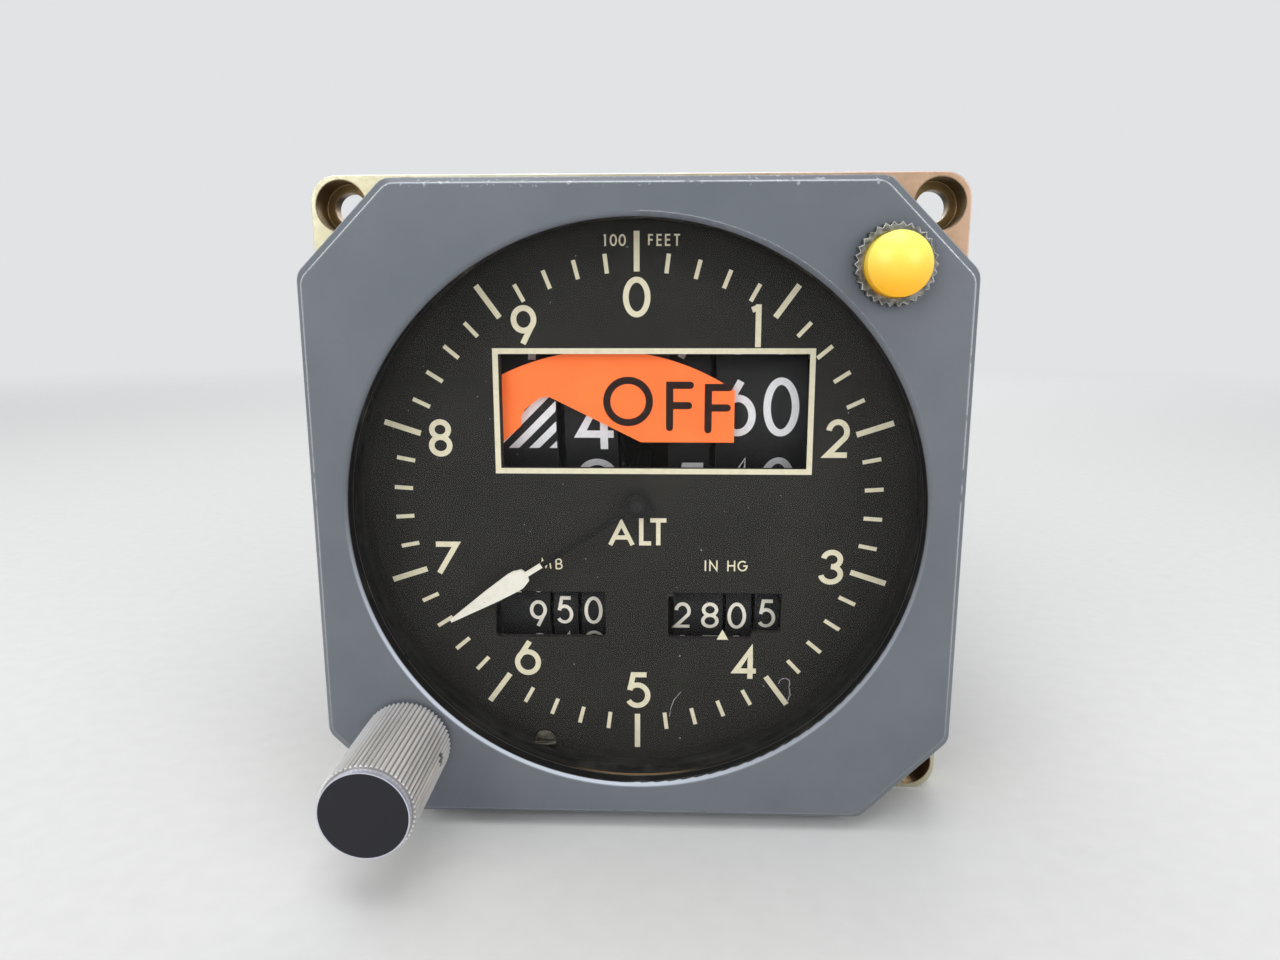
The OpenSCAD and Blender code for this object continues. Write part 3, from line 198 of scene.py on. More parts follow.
# Bare metal along edges: where the normal of a rounded edge leaves the flat one, broken up by noise
edge_starts, edge_full = 0.995, 0.93
chip_blur = 0.14
edge_wear, enter, leave = new_group("edge_wear", (("Width", 0.0003), ("Wear", 0.5), ("Scale", 700.0)),
    (("Mask", "NodeSocketFloat"), ("Normal", "NodeSocketVector")))
rounded = add(edge_wear, "ShaderNodeBevel", {"Radius": enter["Width"]}, samples=6).outputs["Normal"]
flat = add(edge_wear, "ShaderNodeNewGeometry").outputs["Normal"]
turned = add(edge_wear, "ShaderNodeVectorMath", {0: rounded, 1: flat}, operation="DOT_PRODUCT")
bend = ramp(edge_wear, turned.outputs["Value"], edge_starts, edge_full)
chips = add(edge_wear, "ShaderNodeTexNoise",
    {"Vector": surface_point(edge_wear), "Scale": enter["Scale"], "Detail": 4.0})
keep = add(edge_wear, "ShaderNodeMath", {0: 1.0, 1: enter["Wear"]}, operation="SUBTRACT").outputs[0]
limit = add(edge_wear, "ShaderNodeMath", {0: keep, 1: chip_blur}, operation="ADD").outputs[0]
broken = ramp(edge_wear, chips.outputs["Fac"], keep, limit)
edge_wear.links.new(times(edge_wear, bend, broken), leave["Mask"])
edge_wear.links.new(rounded, leave["Normal"])


def place_group(tree, group, **values):
    """One use of a shader group in a material, with its own input values."""
    node = add(tree, "ShaderNodeGroup")
    node.node_tree = group
    for name, value in values.items():
        node.inputs[name].default_value = value
    return node.outputs


def mix_value(tree, mask, first, second):
    """Number that goes from first to second with the mask."""
    inputs = {"Factor": mask, "A": first, "B": second}
    return add(tree, "ShaderNodeMix", inputs, data_type="FLOAT").outputs["Result"]


def bump(tree, height, distance, normal=None):
    """Normal that follows a height mask of the given depth in metres."""
    inputs = {"Height": height, "Strength": 1.0, "Distance": distance}
    if normal is not None:
        inputs["Normal"] = normal
    return add(tree, "ShaderNodeBump", inputs).outputs["Normal"]


def dress(material, *nodes):
    """Gives CAD nodes their finish."""
    for name in nodes:
        node = frame["nodes"][name]
        if not node.material_slots:
            node.data.materials.append(material)
        for held in node.material_slots:
            held.material = material


def plated(name, light, dark, roughness, edge, scale, wear_share=0.62, overlay=None):
    """Coated metal: two tones in soft blotches, lighter worn edges, a tooled grain and perhaps an overlay
    multiplied into the colour.
    """
    material, tree, surface = new_material(name, light, roughness, 1.0)
    wear = place_group(tree, edge_wear, Width=0.25 * MM, Wear=wear_share, Scale=900.0)
    blotch = place_group(tree, mottle, Scale=scale, Low=0.38, High=0.62)["Mask"]
    grain = place_group(tree, mottle, Scale=2600.0, Low=0.3, High=0.7)["Mask"]
    coat = mix_colour(tree, wear["Mask"], mix_colour(tree, blotch, light, dark), edge)
    if overlay is not None:
        coat = mix_colour(tree, 1.0, coat, overlay(tree), "MULTIPLY")
    tree.links.new(coat, surface.inputs["Base Color"])
    smooth, rough = roughness - 0.07, roughness + 0.1
    tree.links.new(mix_value(tree, grain, smooth, rough), surface.inputs["Roughness"])
    tree.links.new(bump(tree, grain, 0.004 * MM, wear["Normal"]), surface.inputs["Normal"])
    return material


def axes(tree):
    """X, Y and Z of the shaded point, in metres."""
    return add(tree, "ShaderNodeSeparateXYZ", {"Vector": surface_point(tree)}).outputs


hole_at = frame["record"]["mounts"][0]["dims"]["spacing_x_mm"] / 2 * MM
counterbore = 3.35 * MM


def flange_tint_and_bore_shade(tree):
    """Copper cast towards the upper right, and brown painted shade inside the corner holes."""
    place = axes(tree)
    rightward = ramp(tree, place["X"], -10 * MM, 40 * MM)
    upward = ramp(tree, place["Z"], -20 * MM, 25 * MM)
    cast = mix_colour(tree, times(tree, rightward, upward), (1, 1, 1), linear(240, 206, 200))
    folded = add(tree, "ShaderNodeVectorMath", {0: surface_point(tree)}, operation="ABSOLUTE")
    offset = add(tree, "ShaderNodeVectorMath", {0: folded.outputs["Vector"], 1: (hole_at, 0, hole_at)},
        operation="SUBTRACT")
    flat = add(tree, "ShaderNodeVectorMath", {0: offset.outputs["Vector"], 1: (1, 0, 1)},
        operation="MULTIPLY")
    from_hole = add(tree, "ShaderNodeVectorMath", {0: flat.outputs["Vector"]}, operation="LENGTH")
    # Painted shade: the walls of the counterbored holes turn brown
    bore_shade = ramp(tree, from_hole.outputs["Value"], counterbore + 0.2 * MM, counterbore + 0.03 * MM)
    return mix_colour(tree, bore_shade, cast, linear(152, 130, 104))


flange_coat = plated("flange_coat", linear(205, 200, 174), linear(192, 186, 157), 0.36,
    linear(250, 249, 246), 240.0, wear_share=0.8, overlay=flange_tint_and_bore_shade)
dress(flange_coat, "mounting_flange")


# Bezel: one light-alloy casting with cut corners and a round opening, screwed to the flange from behind.
# It is sprayed satin blue-grey. Handling has rubbed its edges bright and chipped the paint along the top.
# The lip of the opening carries a painted highlight, and its inner wall is black.
opening_radius = 36.8 * MM
bezel_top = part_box("bezel")[1].z

# Distance from an axis that runs front to back through the given X and Z
off_axis, enter, leave = new_group("off_axis", (("X", 0.0), ("Z", 0.0)), (("Distance", "NodeSocketFloat"),))
point = axes(off_axis)
sideways = add(off_axis, "ShaderNodeMath", {0: point["X"], 1: enter["X"]}, operation="SUBTRACT")
upwards = add(off_axis, "ShaderNodeMath", {0: point["Z"], 1: enter["Z"]}, operation="SUBTRACT")
flat = add(off_axis, "ShaderNodeCombineXYZ", {"X": sideways.outputs[0], "Z": upwards.outputs[0]})
away = add(off_axis, "ShaderNodeVectorMath", {0: flat.outputs["Vector"]}, operation="LENGTH")
off_axis.links.new(away.outputs["Value"], leave["Distance"])

bezel_paint, tree, surface = new_material("bezel_paint", linear(105, 111, 118), 0.42)
place = axes(tree)
wear = place_group(tree, edge_wear, Width=0.36 * MM, Wear=0.72, Scale=420.0)
blotch = place_group(tree, mottle, Scale=45.0, Low=0.3, High=0.7)["Mask"]
spray = place_group(tree, mottle, Scale=3200.0, Low=0.25, High=0.75)["Mask"]
rubbed = place_group(tree, mottle, Scale=260.0, Low=0.74, High=0.8)["Mask"]
coat = mix_colour(tree, blotch, linear(100, 106, 114), linear(110, 115, 122))
coat = mix_colour(tree, rubbed, coat, linear(132, 136, 141))

# Painted highlight: a bright bluish line along the lip, strongest at the bottom and the left
from_axis = place_group(tree, off_axis)["Distance"]
lip_outer = ramp(tree, from_axis, opening_radius + 0.55 * MM, opening_radius + 0.3 * MM)
lip_inner = ramp(tree, from_axis, opening_radius + 0.02 * MM, opening_radius + 0.1 * MM)
lower = ramp(tree, place["Z"], 5 * MM, -24 * MM)
leftward = mix_value(tree, ramp(tree, place["X"], 28 * MM, -5 * MM), 0.35, 1.0)
lip_painted_highlight = times(tree, times(tree, times(tree, lip_outer, lip_inner), lower), leftward)
coat = mix_colour(tree, lip_painted_highlight, coat, linear(204, 211, 224))
lip_wall = ramp(tree, from_axis, opening_radius + 0.1 * MM, opening_radius + 0.03 * MM)
coat = mix_colour(tree, lip_wall, coat, linear(22, 22, 23))

# Chips along the top, and edges that are worn less towards the bottom
top_edge = ramp(tree, place["Z"], bezel_top - 1.4 * MM, bezel_top - 0.9 * MM)
flakes = place_group(tree, mottle, Scale=1500.0, Low=0.6, High=0.66)["Mask"]
coat = mix_colour(tree, times(tree, top_edge, flakes), coat, linear(176, 181, 188))
handled = mix_value(tree, ramp(tree, place["Z"], -40 * MM, 5 * MM), 0.3, 1.0)
worn = times(tree, wear["Mask"], handled)
tree.links.new(mix_colour(tree, worn, coat, linear(226, 230, 236)), surface.inputs["Base Color"])
tree.links.new(mix_value(tree, worn, 0.42, 0.28), surface.inputs["Roughness"])
tree.links.new(mix_value(tree, worn, 0.0, 0.85), surface.inputs["Metallic"])
tree.links.new(bump(tree, spray, 0.006 * MM, wear["Normal"]), surface.inputs["Normal"])
dress(bezel_paint, "bezel")


# Cover glass: a flat disc with a low-reflection coating, set under the bezel's lip on a thin rubber gasket.
# The gasket is dark, turning a lighter brassy colour along the bottom.
# A turned ring behind the glass, painted black and now dusty, holds it forward and clamps the dial.
glass_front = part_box("cover_glass")[0].y / MM
clear_glass, tree, surface = new_material("clear_glass", (1, 1, 1), 0.0)
surface.inputs["Transmission Weight"].default_value = 1.0
surface.inputs["IOR"].default_value = 1.14
rays = add(tree, "ShaderNodeLightPath").outputs
unseen = add(tree, "ShaderNodeMath", {0: rays["Is Shadow Ray"], 1: rays["Is Diffuse Ray"]},
    operation="MAXIMUM")
passing = add(tree, "ShaderNodeBsdfTransparent")
both = add(tree, "ShaderNodeMixShader", {0: unseen.outputs[0], 1: surface.outputs[0], 2: passing.outputs[0]})
tree.links.new(both.outputs[0], tree.nodes["Material Output"].inputs["Surface"])
dress(clear_glass, "cover_glass")

gasket_cord, tree, surface = new_material("gasket_cord", linear(32, 28, 26), 0.6)
blotch = place_group(tree, mottle, Scale=300.0, Low=0.35, High=0.65)["Mask"]
coat = mix_colour(tree, blotch, linear(34, 30, 27), linear(26, 23, 21))
brassy_bottom = ramp(tree, axes(tree)["Z"], -35.5 * MM, -37.2 * MM)
tree.links.new(mix_colour(tree, brassy_bottom, coat, linear(150, 122, 84)), surface.inputs["Base Color"])
dress(gasket_cord, "glass_gasket")

black_ring, tree, surface = new_material("black_ring", linear(40, 40, 38), 0.5)
dusty = place_group(tree, mottle, Scale=500.0, Low=0.45, High=0.8)["Mask"]
tree.links.new(mix_colour(tree, dusty, linear(38, 38, 36), linear(62, 61, 57)), surface.inputs["Base Color"])
tree.links.new(mix_value(tree, dusty, 0.42, 0.7), surface.inputs["Roughness"])
dress(black_ring, "dial_ring")


# Dial plate: sheet metal sprayed matt charcoal, with every mark printed in cream.
# It lies on the flange's register under the black ring.
# The marks are thin films of ink on the plate, drawn as strokes of constant width.
dial_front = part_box("dial_plate")[0].y / MM
dial_charcoal, tree, surface = new_material("dial_charcoal", linear(40, 40, 37), 0.8)
surface.inputs["Specular IOR Level"].default_value = 0.25
blotch = place_group(tree, mottle, Scale=60.0, Low=0.3, High=0.7)["Mask"]
speck = place_group(tree, mottle, Scale=2400.0, Low=0.7, High=0.78)["Mask"]
coat = mix_colour(tree, blotch, linear(36, 35, 32), linear(42, 41, 37))
tree.links.new(mix_colour(tree, speck, coat, linear(66, 65, 60)), surface.inputs["Base Color"])
grain = place_group(tree, mottle, Scale=5000.0, Low=0.2, High=0.8)["Mask"]
tree.links.new(bump(tree, grain, 0.003 * MM), surface.inputs["Normal"])
dress(dial_charcoal, "dial_plate")


def ink(name, colour, patchy):
    """Printing ink: one colour with faint thin spots."""
    material, tree, surface = new_material(name, colour, 0.7)
    surface.inputs["Specular IOR Level"].default_value = 0.2
    thin = place_group(tree, mottle, Scale=1500.0, Low=0.35, High=0.75)["Mask"]
    tree.links.new(mix_colour(tree, thin, colour, patchy), surface.inputs["Base Color"])
    return material


# Thickness of an ink film, how deep it bites into its carrier, and how far a crossing stroke stands above
film = 0.03
film_bite = 0.01
film_step = 0.008
row_spacing = 0.5
mitre_limit = 0.36
tip_angles = (0.4, 0.8, 1.15, 1.45)
same_point = 1e-6


def fine(rows):
    """The same film with its rows close enough to follow a drum."""
    dense = rows[:1]
    for here, there in zip(rows, rows[1:]):
        longest = max((end - start).length for start, end in zip(here, there))
        parts = max(1, math.ceil(longest / row_spacing))
        for i in range(parts):
            dense.append(tuple(start.lerp(end, (i + 1) / parts) for start, end in zip(here, there)))
    return dense


def slab(shape, rows, place, closed=False, lift=0.0):
    """Adds a thin film between the two edges given by rows of flat point pairs."""
    corners = [[shape.verts.new(place(p.x, p.y, h)) for p, h in
        ((left, 0), (left, film + lift), (right, film + lift), (right, 0))] for left, right in rows]
    following = corners[1:] + corners[:1] if closed else corners[1:]
    for here, there in zip(corners, following):
        for k in range(4):
            shape.faces.new((here[k], there[k], there[(k + 1) % 4], here[(k + 1) % 4]))
    if not closed:
        shape.faces.new(corners[0])
        shape.faces.new(corners[-1][::-1])


def round_tip(point, onward, side, width):
    """Rows of a round stroke end, from the stroke outwards."""
    onward = onward.normalized() * width / 2
    across = Vector((onward.y, -onward.x)) * side
    return [(point + onward * math.sin(t) + across * math.cos(t),
        point + onward * math.sin(t) - across * math.cos(t)) for t in tip_angles]


def stroke(shape, points, width, place, closed=False, lift=0.0, rounded=False):
    """Adds a ribbon of ink along flat points; place(u, v, height) puts it on its carrier."""
    count = len(points)
    rows = []
    for i, point in enumerate(points):
        before = points[(i - 1) % count] if closed or i > 0 else point
        after = points[(i + 1) % count] if closed or i < count - 1 else point
        into = (point - before).normalized() if before != point else (after - point).normalized()
        out = (after - point).normalized() if after != point else into
        across = Vector((-(into + out).y, (into + out).x)).normalized()
        reach = width / 2 / max(mitre_limit, across.dot(Vector((-into.y, into.x))))
        rows.append((point + across * reach, point - across * reach))
    if rounded and not closed:
        first_tip = round_tip(points[0], points[0] - points[1], 1, width)
        last_tip = round_tip(points[-1], points[-1] - points[-2], -1, width)
        rows = first_tip[::-1] + rows + last_tip
    slab(shape, rows if closed else fine(rows), place, closed, lift)


def arc(u, v, across, up, start, end, steps=22):
    """Points of an elliptical arc, angles in degrees counted from the right."""
    turns = [math.radians(start + (end - start) * i / steps) for i in range(steps + 1)]
    return [(u + across * math.cos(t), v + up * math.sin(t)) for t in turns]


# Plain figures and capitals as strokes in a box one unit wide, centred, and one unit high
glyphs = {
    "0": [arc(0, 0.5, 0.5, 0.5, 90, 450, 40)],
    "1": [[(0.5, -0.08), (0.5, 1.08)], [(-0.5, 0.93), (0.5, 1)]],
    "2": [arc(0, 0.7, 0.46, 0.3, 172, -32) + [(-0.5, 0), (0.5, 0)]],
    "3": [arc(0.02, 0.757, 0.43, 0.243, 170, -90), arc(-0.02, 0.262, 0.5, 0.262, 90, -172)],
    "4": [[(0.24, 0.5), (0.24, 0.88), (-0.41, 0.22), (0.5, 0.22)], [(0.24, -0.03), (0.24, 0.6)]],
    "5": [[(0.44, 1), (-0.2, 1), (-0.36, 0.5)], arc(0, 0.335, 0.5, 0.335, 142, -148)],
    "6": [[(0.1, 1), (-0.44, 0.47)], arc(0, 0.335, 0.5, 0.335, 90, 450, 40)],
    "7": [[(-0.5, 1), (0.5, 1), (-0.38, 0)]],
    "8": [arc(0, 0.763, 0.455, 0.237, 90, 450, 40), arc(0, 0.263, 0.5, 0.263, 90, 450, 40)],
    "9": [[(-0.06, 0), (0.44, 0.55)], arc(0, 0.685, 0.5, 0.315, 90, 450, 40)],
    "A": [[(-0.54, -0.08), (0, 0.88), (0.54, -0.08)], [(-0.34, 0.25), (0.34, 0.25)]],
    "B": [[(-0.5, 0), (-0.5, 1), (0, 1)] + arc(0, 0.76, 0.4, 0.24, 90, -90) + [(-0.5, 0.52)],
        [(-0.5, 0.52)] + arc(0.02, 0.26, 0.48, 0.26, 90, -90) + [(-0.5, 0)]],
    "E": [[(0.5, 1), (-0.5, 1), (-0.5, 0), (0.5, 0)], [(-0.5, 0.52), (0.42, 0.52)]],
    "F": [[(0.5, 1), (-0.5, 1), (-0.5, 0)], [(-0.5, 0.52), (0.42, 0.52)]],
    "G": [arc(0, 0.5, 0.5, 0.5, 48, 360, 40) + [(0.08, 0.5)]],
    "H": [[(-0.5, -0.08), (-0.5, 1.08)], [(0.5, -0.08), (0.5, 1.08)], [(-0.5, 0.52), (0.5, 0.52)]],
    "I": [[(0, -0.08), (0, 1.08)]],
    "L": [[(-0.5, 1.08), (-0.5, 0), (0.5, 0)]],
    "M": [[(-0.5, 0), (-0.36, 1), (0, 0.16), (0.36, 1), (0.5, 0)]],
    "N": [[(-0.5, -0.08), (-0.5, 1), (0.5, 0), (0.5, 1.08)]],
    "O": [arc(0, 0.5, 0.5, 0.5, 90, 450, 56)],
    "T": [[(-0.5, 1), (0.5, 1)], [(0, 1), (0, -0.08)]],
}


def write(shape, sign, u, v, width, height, weight, place, rounded=False):
    """Draws one figure or capital with its box centred on (u, v)."""
    for layer, line in enumerate(glyphs[sign]):
        points = [Vector((u + x * (width - weight), v + (y - 0.5) * (height - weight))) for x, y in line]
        closed = (points[0] - points[-1]).length < same_point
        stroke(shape, points[:-1] if closed else points, weight, place, closed, layer * film_step, rounded)


def finish_piece(name, shape, material, body):
    """Turns drawn shapes into a piece that rides on a body."""
    bmesh.ops.recalc_face_normals(shape, faces=shape.faces)
    mesh = bpy.data.meshes.new(name)
    shape.to_mesh(mesh)
    shape.free()
    mesh.materials.append(material)
    piece = bpy.data.objects.new(name, mesh)
    bpy.context.scene.collection.objects.link(piece)
    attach(piece, body)


def on_face(front, bite=film_bite):
    """Place on a flat face that looks forward: u to the right, v up and the height off the face."""
    def place(u, v, height):
        return Vector((u, front + bite - height, v)) * MM
    return place


on_dial = on_face(dial_front)
cream_ink = ink("cream_ink", linear(241, 234, 205), linear(231, 222, 192))

# Fifty ticks, one every twenty feet, longer and wider at the hundreds
tick_count = 50
ticks_per_hundred = 5
tick_inner = 30.75
hundred_length, hundred_width = 5.1, 0.76
tick_length, tick_width = 2.5, 0.55
marks = bmesh.new()
for i in range(tick_count):
    hundred = i % ticks_per_hundred == 0
    turn = math.tau * i / tick_count
    ray = Vector((math.sin(turn), math.cos(turn)))
    tick_outer = tick_inner + (hundred_length if hundred else tick_length)
    stroke(marks, [ray * tick_inner, ray * tick_outer], hundred_width if hundred else tick_width, on_dial)
finish_piece("dial_ticks", marks, cream_ink, "housing")

# Hundreds figures inside the ticks, each with its centre, width and height
figure_weight = 0.75
figures = (("0", 0, 27.5, 3.6, 5.2), ("1", 15.46, 23.8, 1.6, 5.5), ("2", 26.77, 8.98, 3.35, 5.2),
    ("3", 26.62, -8.81, 3.4, 4.95), ("4", 15.1, -22.75, 3.9, 5.4), ("5", 0, -27.15, 3.7, 5.4),
    ("6", -15.5, -22.35, 3.7, 5.4), ("7", -26.46, -8.03, 3.6, 4.9), ("8", -26.6, 8.88, 3.2, 5.1),
    ("9", -14.9, 23.8, 3.4, 5.4))
marks = bmesh.new()
for sign, u, v, width, height in figures:
    write(marks, sign, u, v, width, height, figure_weight, on_dial)
finish_piece("dial_figures", marks, cream_ink, "housing")

# Legends: each word as its letters' centres and widths, then its line, height and stroke
legends = (
    ("ALT", (-2.16, 1.24, 2.9), (3.45, 1.95, 2.8), -4.0, 3.85, 0.6),
    ("MB", (-12.65, -10.82), (1.55, 1.0), -8.66, 1.55, 0.2),
    ("INHG", (9.4, 10.5, 12.95, 14.5), (0.2, 1.15, 1.1, 1.4), -8.75, 1.5, 0.2),
    ("100", (-4.15, -3.0, -1.85), (0.4, 0.95, 0.95), 34.7, 1.5, 0.22),
    ("FEET", (1.85, 2.95, 4.05, 5.2), (0.75, 0.8, 0.8, 1.0), 34.7, 1.5, 0.22),
)
marks = bmesh.new()
for word, centres, widths, line_at, height, weight in legends:
    for sign, u, width in zip(word, centres, widths):
        write(marks, sign, u, line_at, width, height, weight, on_dial)
finish_piece("dial_legends", marks, cream_ink, "housing")

# Painted frame round the altitude window
frame_left, frame_right, frame_low, frame_high, frame_line = -19.2, 23.5, 4.05, 20.9, 0.75
inset = frame_line / 2
left, right, low, high = frame_left + inset, frame_right - inset, frame_low + inset, frame_high - inset
marks = bmesh.new()
stroke(marks, [Vector((left, low)), Vector((right, low)), Vector((right, high)), Vector((left, high))],
    frame_line, on_dial, closed=True)
finish_piece("window_frame", marks, cream_ink, "housing")


# Dial screw: a small brass dome head, dull plated, that fixes the dial plate to its register.
# It is half hidden under the black ring.
screw_dull = plated("screw_dull", linear(84, 80, 70), linear(58, 55, 48), 0.5, linear(120, 116, 104), 900.0)
dress(screw_dull, "dial_screw")


# Pointer: thin sheet pressed on a slim shaft that comes through the middle of the dial.
# Its stem is painted black as the dial is, and its leaf matt white.
# The shaft and its bush in the dial are turned and blackened.
white_from = 15.35 * MM
white_edge = 0.02 * MM
pointer_paint, tree, surface = new_material("pointer_paint", linear(232, 229, 216), 0.6)
surface.inputs["Specular IOR Level"].default_value = 0.2
reach = place_group(tree, off_axis)["Distance"]
white = ramp(tree, reach, white_from - white_edge, white_from + white_edge)
thin = place_group(tree, mottle, Scale=900.0, Low=0.4, High=0.8)["Mask"]
leaf = mix_colour(tree, thin, linear(243, 240, 226), linear(232, 228, 212))
tree.links.new(mix_colour(tree, white, linear(21, 21, 20), leaf), surface.inputs["Base Color"])
dress(pointer_paint, "pointer")

# Blackened finish of the pointer's shaft and bush, also used as painted shade on two gears
blackened_and_shade, tree, surface = new_material("blackened_and_shade", linear(30, 30, 29), 0.5)
surface.inputs["Specular IOR Level"].default_value = 0.25
thin = place_group(tree, mottle, Scale=1800.0, Low=0.5, High=0.8)["Mask"]
tree.links.new(mix_colour(tree, thin, linear(28, 28, 27), linear(52, 51, 48)), surface.inputs["Base Color"])
dress(blackened_and_shade, "pointer_shaft", "pointer_bush")


# Counter drums: black moulded rims with white printed figures, read through the dial's windows.
# They turn on two axles, four for the altitude and six for the pressure setting.
# Ten positions make a turn; the next higher figure stands above the one that shows.
drum_black, tree, surface = new_material("drum_black", linear(30, 30, 31), 0.6)
surface.inputs["Specular IOR Level"].default_value = 0.22
dusty = place_group(tree, mottle, Scale=700.0, Low=0.5, High=0.85)["Mask"]
tree.links.new(mix_colour(tree, dusty, linear(27, 27, 28), linear(48, 48, 47)), surface.inputs["Base Color"])
dress(drum_black, "ten_thousands_drum", "thousands_drum", "hundreds_drum", "tens_drum", "mb_hundreds_drum",
    "mb_tens_drum", "mb_units_drum", "hg_inches_drum", "hg_tenths_drum", "hg_hundredths_drum")
white_ink = ink("white_ink", linear(242, 242, 244), linear(230, 230, 233))
baro_ink = ink("baro_ink", linear(252, 248, 234), linear(244, 238, 222))
joint_of = {joint["child"]: joint for joint in frame["joints"]}


def rim_radius(drum):
    """Radius of a drum's rim in millimetres."""
    low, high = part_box(drum)
    return (high.z - low.z) / 2 / MM


def on_drum(body, radius):
    """Place on a drum's rim: u along the axle, v along the rim upwards from the axle's height."""
    axle = Vector(joint_of[body]["pos_m"]) / MM

    def place(u, v, height):
        turn = v / radius
        out = radius - film_bite + height
        return Vector((u, axle.y - out * math.cos(turn), axle.z + out * math.sin(turn))) * MM
    return place


# Each drum as body, rim radius, labels from the showing one upwards, the figures' places along the axle,
# the showing label's height, then the figures' width, height, stroke and ink
altitude_radius = rim_radius("tens_drum")
baro_radius = rim_radius("mb_units_drum")
drum_steps = 10
counters = (
    ("thousands_drum", altitude_radius, "4567890123", (-5.85,), -0.95, 6.1, 10.0, 1.05, white_ink),
    ("hundreds_drum", altitude_radius, "6789012345", (7.35,), -0.6, 4.9, 8.1, 0.95, white_ink),
    ("tens_drum", altitude_radius, ("60", "80", "00", "20", "40") * 2, (13.65, 19.5), 0.35, 4.85, 8.1, 1.0,
        white_ink),
    ("mb_hundreds_drum", baro_radius, (" 9", "10", " 7", " 8", " 9", "10", " 7", " 8", " 7", " 8"),
        (-17.3, -14.25), -0.45, 2.45, 4.2, 0.5, baro_ink),
    ("mb_tens_drum", baro_radius, "5678901234", (-10.5,), 0.2, 2.5, 4.1, 0.5, baro_ink),
    ("mb_units_drum", baro_radius, "0123456789", (-6.35,), 0.2, 2.6, 4.1, 0.5, baro_ink),
    ("hg_inches_drum", baro_radius, ("28", "29", "30", "31", "22", "23", "24", "25", "26", "27"),
        (6.35, 10.25), -0.4, 2.5, 3.9, 0.5, baro_ink),
    ("hg_tenths_drum", baro_radius, "0123456789", (14.05,), -0.42, 2.65, 4.0, 0.5, baro_ink),
    ("hg_hundredths_drum", baro_radius, "5678901234", (18.2,), -0.05, 2.6, 4.2, 0.5, baro_ink),
)
for body, radius, labels, centres, offset, width, height, weight, colour in counters:
    place = on_drum(body, radius)
    marks = bmesh.new()
    for step, label in enumerate(labels):
        v = offset + radius * math.tau * step / drum_steps
        for sign, u in zip(label, centres):
            if sign != " ":
                write(marks, sign, u, v, width if sign != "1" else width / 2, height, weight, place)
    finish_piece(body + "_figures", marks, colour, body)

# Ten-thousands drum: a hatched field stands for zero, figures follow above it
place = on_drum("ten_thousands_drum", altitude_radius)
hatch_left, hatch_right = -19.2, -11.2
hatch_low, hatch_high = -5.55, 4.3
hatch_pitch, hatch_white = 2.83, 1.42
hatch_start = -17.95
hatch_row = 0.35
hatch_bars = range(-4, 4)
thinnest = 0.02
marks = bmesh.new()
for k in hatch_bars:
    rows = []
    for i in range(round((hatch_high - hatch_low) / hatch_row) + 1):
        v = hatch_low + i * hatch_row
        left = hatch_start + k * hatch_pitch + v - hatch_low
        right = left + hatch_white
        left, right = max(left, hatch_left), min(right, hatch_right)
        if right - left > thinnest:
            rows.append((Vector((left, v)), Vector((right, v))))
    if len(rows) > 1:
        slab(marks, rows, place)
leading_figures = "12345"
leading_at, leading_offset = -15.2, -0.1
leading_wide, leading_narrow, leading_high, leading_weight = 5.0, 2.4, 8.6, 1.05
for step, sign in enumerate(leading_figures, 1):
    v = leading_offset + altitude_radius * math.tau * step / drum_steps
    width = leading_narrow if sign == "1" else leading_wide
    write(marks, sign, leading_at, v, width, leading_high, leading_weight, place)
finish_piece("ten_thousands_drum_figures", marks, white_ink, "ten_thousands_drum")


# Decimal mark: a cream triangle at the dial's face, with its tip over the mercury window's lower edge.
# It divides inches from tenths and stays with the dial while the drums turn behind it.
mark_at, mark_apex, mark_base = 11.9, -18.0, -19.45
mark_half, mark_tip = 0.8, 0.02
marks = bmesh.new()
slab(marks, [(Vector((mark_at - mark_half, mark_base)), Vector((mark_at + mark_half, mark_base))),
    (Vector((mark_at - mark_tip, mark_apex)), Vector((mark_at + mark_tip, mark_apex)))], on_dial)
finish_piece("decimal_mark", marks, cream_ink, "housing")


# Warning flag: thin sheet sprayed fluorescent orange, lettered in dark brown.
# A rotary solenoid on the left swings it up out of the altitude window.
flag_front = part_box("off_flag")[0].y / MM
flag_orange, tree, surface = new_material("flag_orange", linear(255, 122, 54), 0.7)
blotch = place_group(tree, mottle, Scale=120.0, Low=0.3, High=0.7)["Mask"]
coat = mix_colour(tree, blotch, linear(255, 116, 50), linear(255, 126, 58))
tree.links.new(coat, surface.inputs["Base Color"])
# The weak orange emission is a painted glow that brightens the flag
surface.inputs["Emission Color"].default_value = (*linear(255, 104, 40), 1)
surface.inputs["Emission Strength"].default_value = 0.25
dress(flag_orange, "off_flag")
brown_ink = ink("brown_ink", linear(34, 18, 13), linear(42, 24, 18))
on_flag = on_face(flag_front)
letter_height, letter_weight = 6.7, 0.98
marks = bmesh.new()
for sign, u, v, width in (("O", -1.25, 13.7, 6.75), ("F", 5.75, 13.05, 3.75), ("F", 10.95, 12.75, 3.75)):
    write(marks, sign, u, v, width, letter_height, letter_weight, on_flag, rounded=True)
finish_piece("flag_letters", marks, brown_ink, "off_flag")


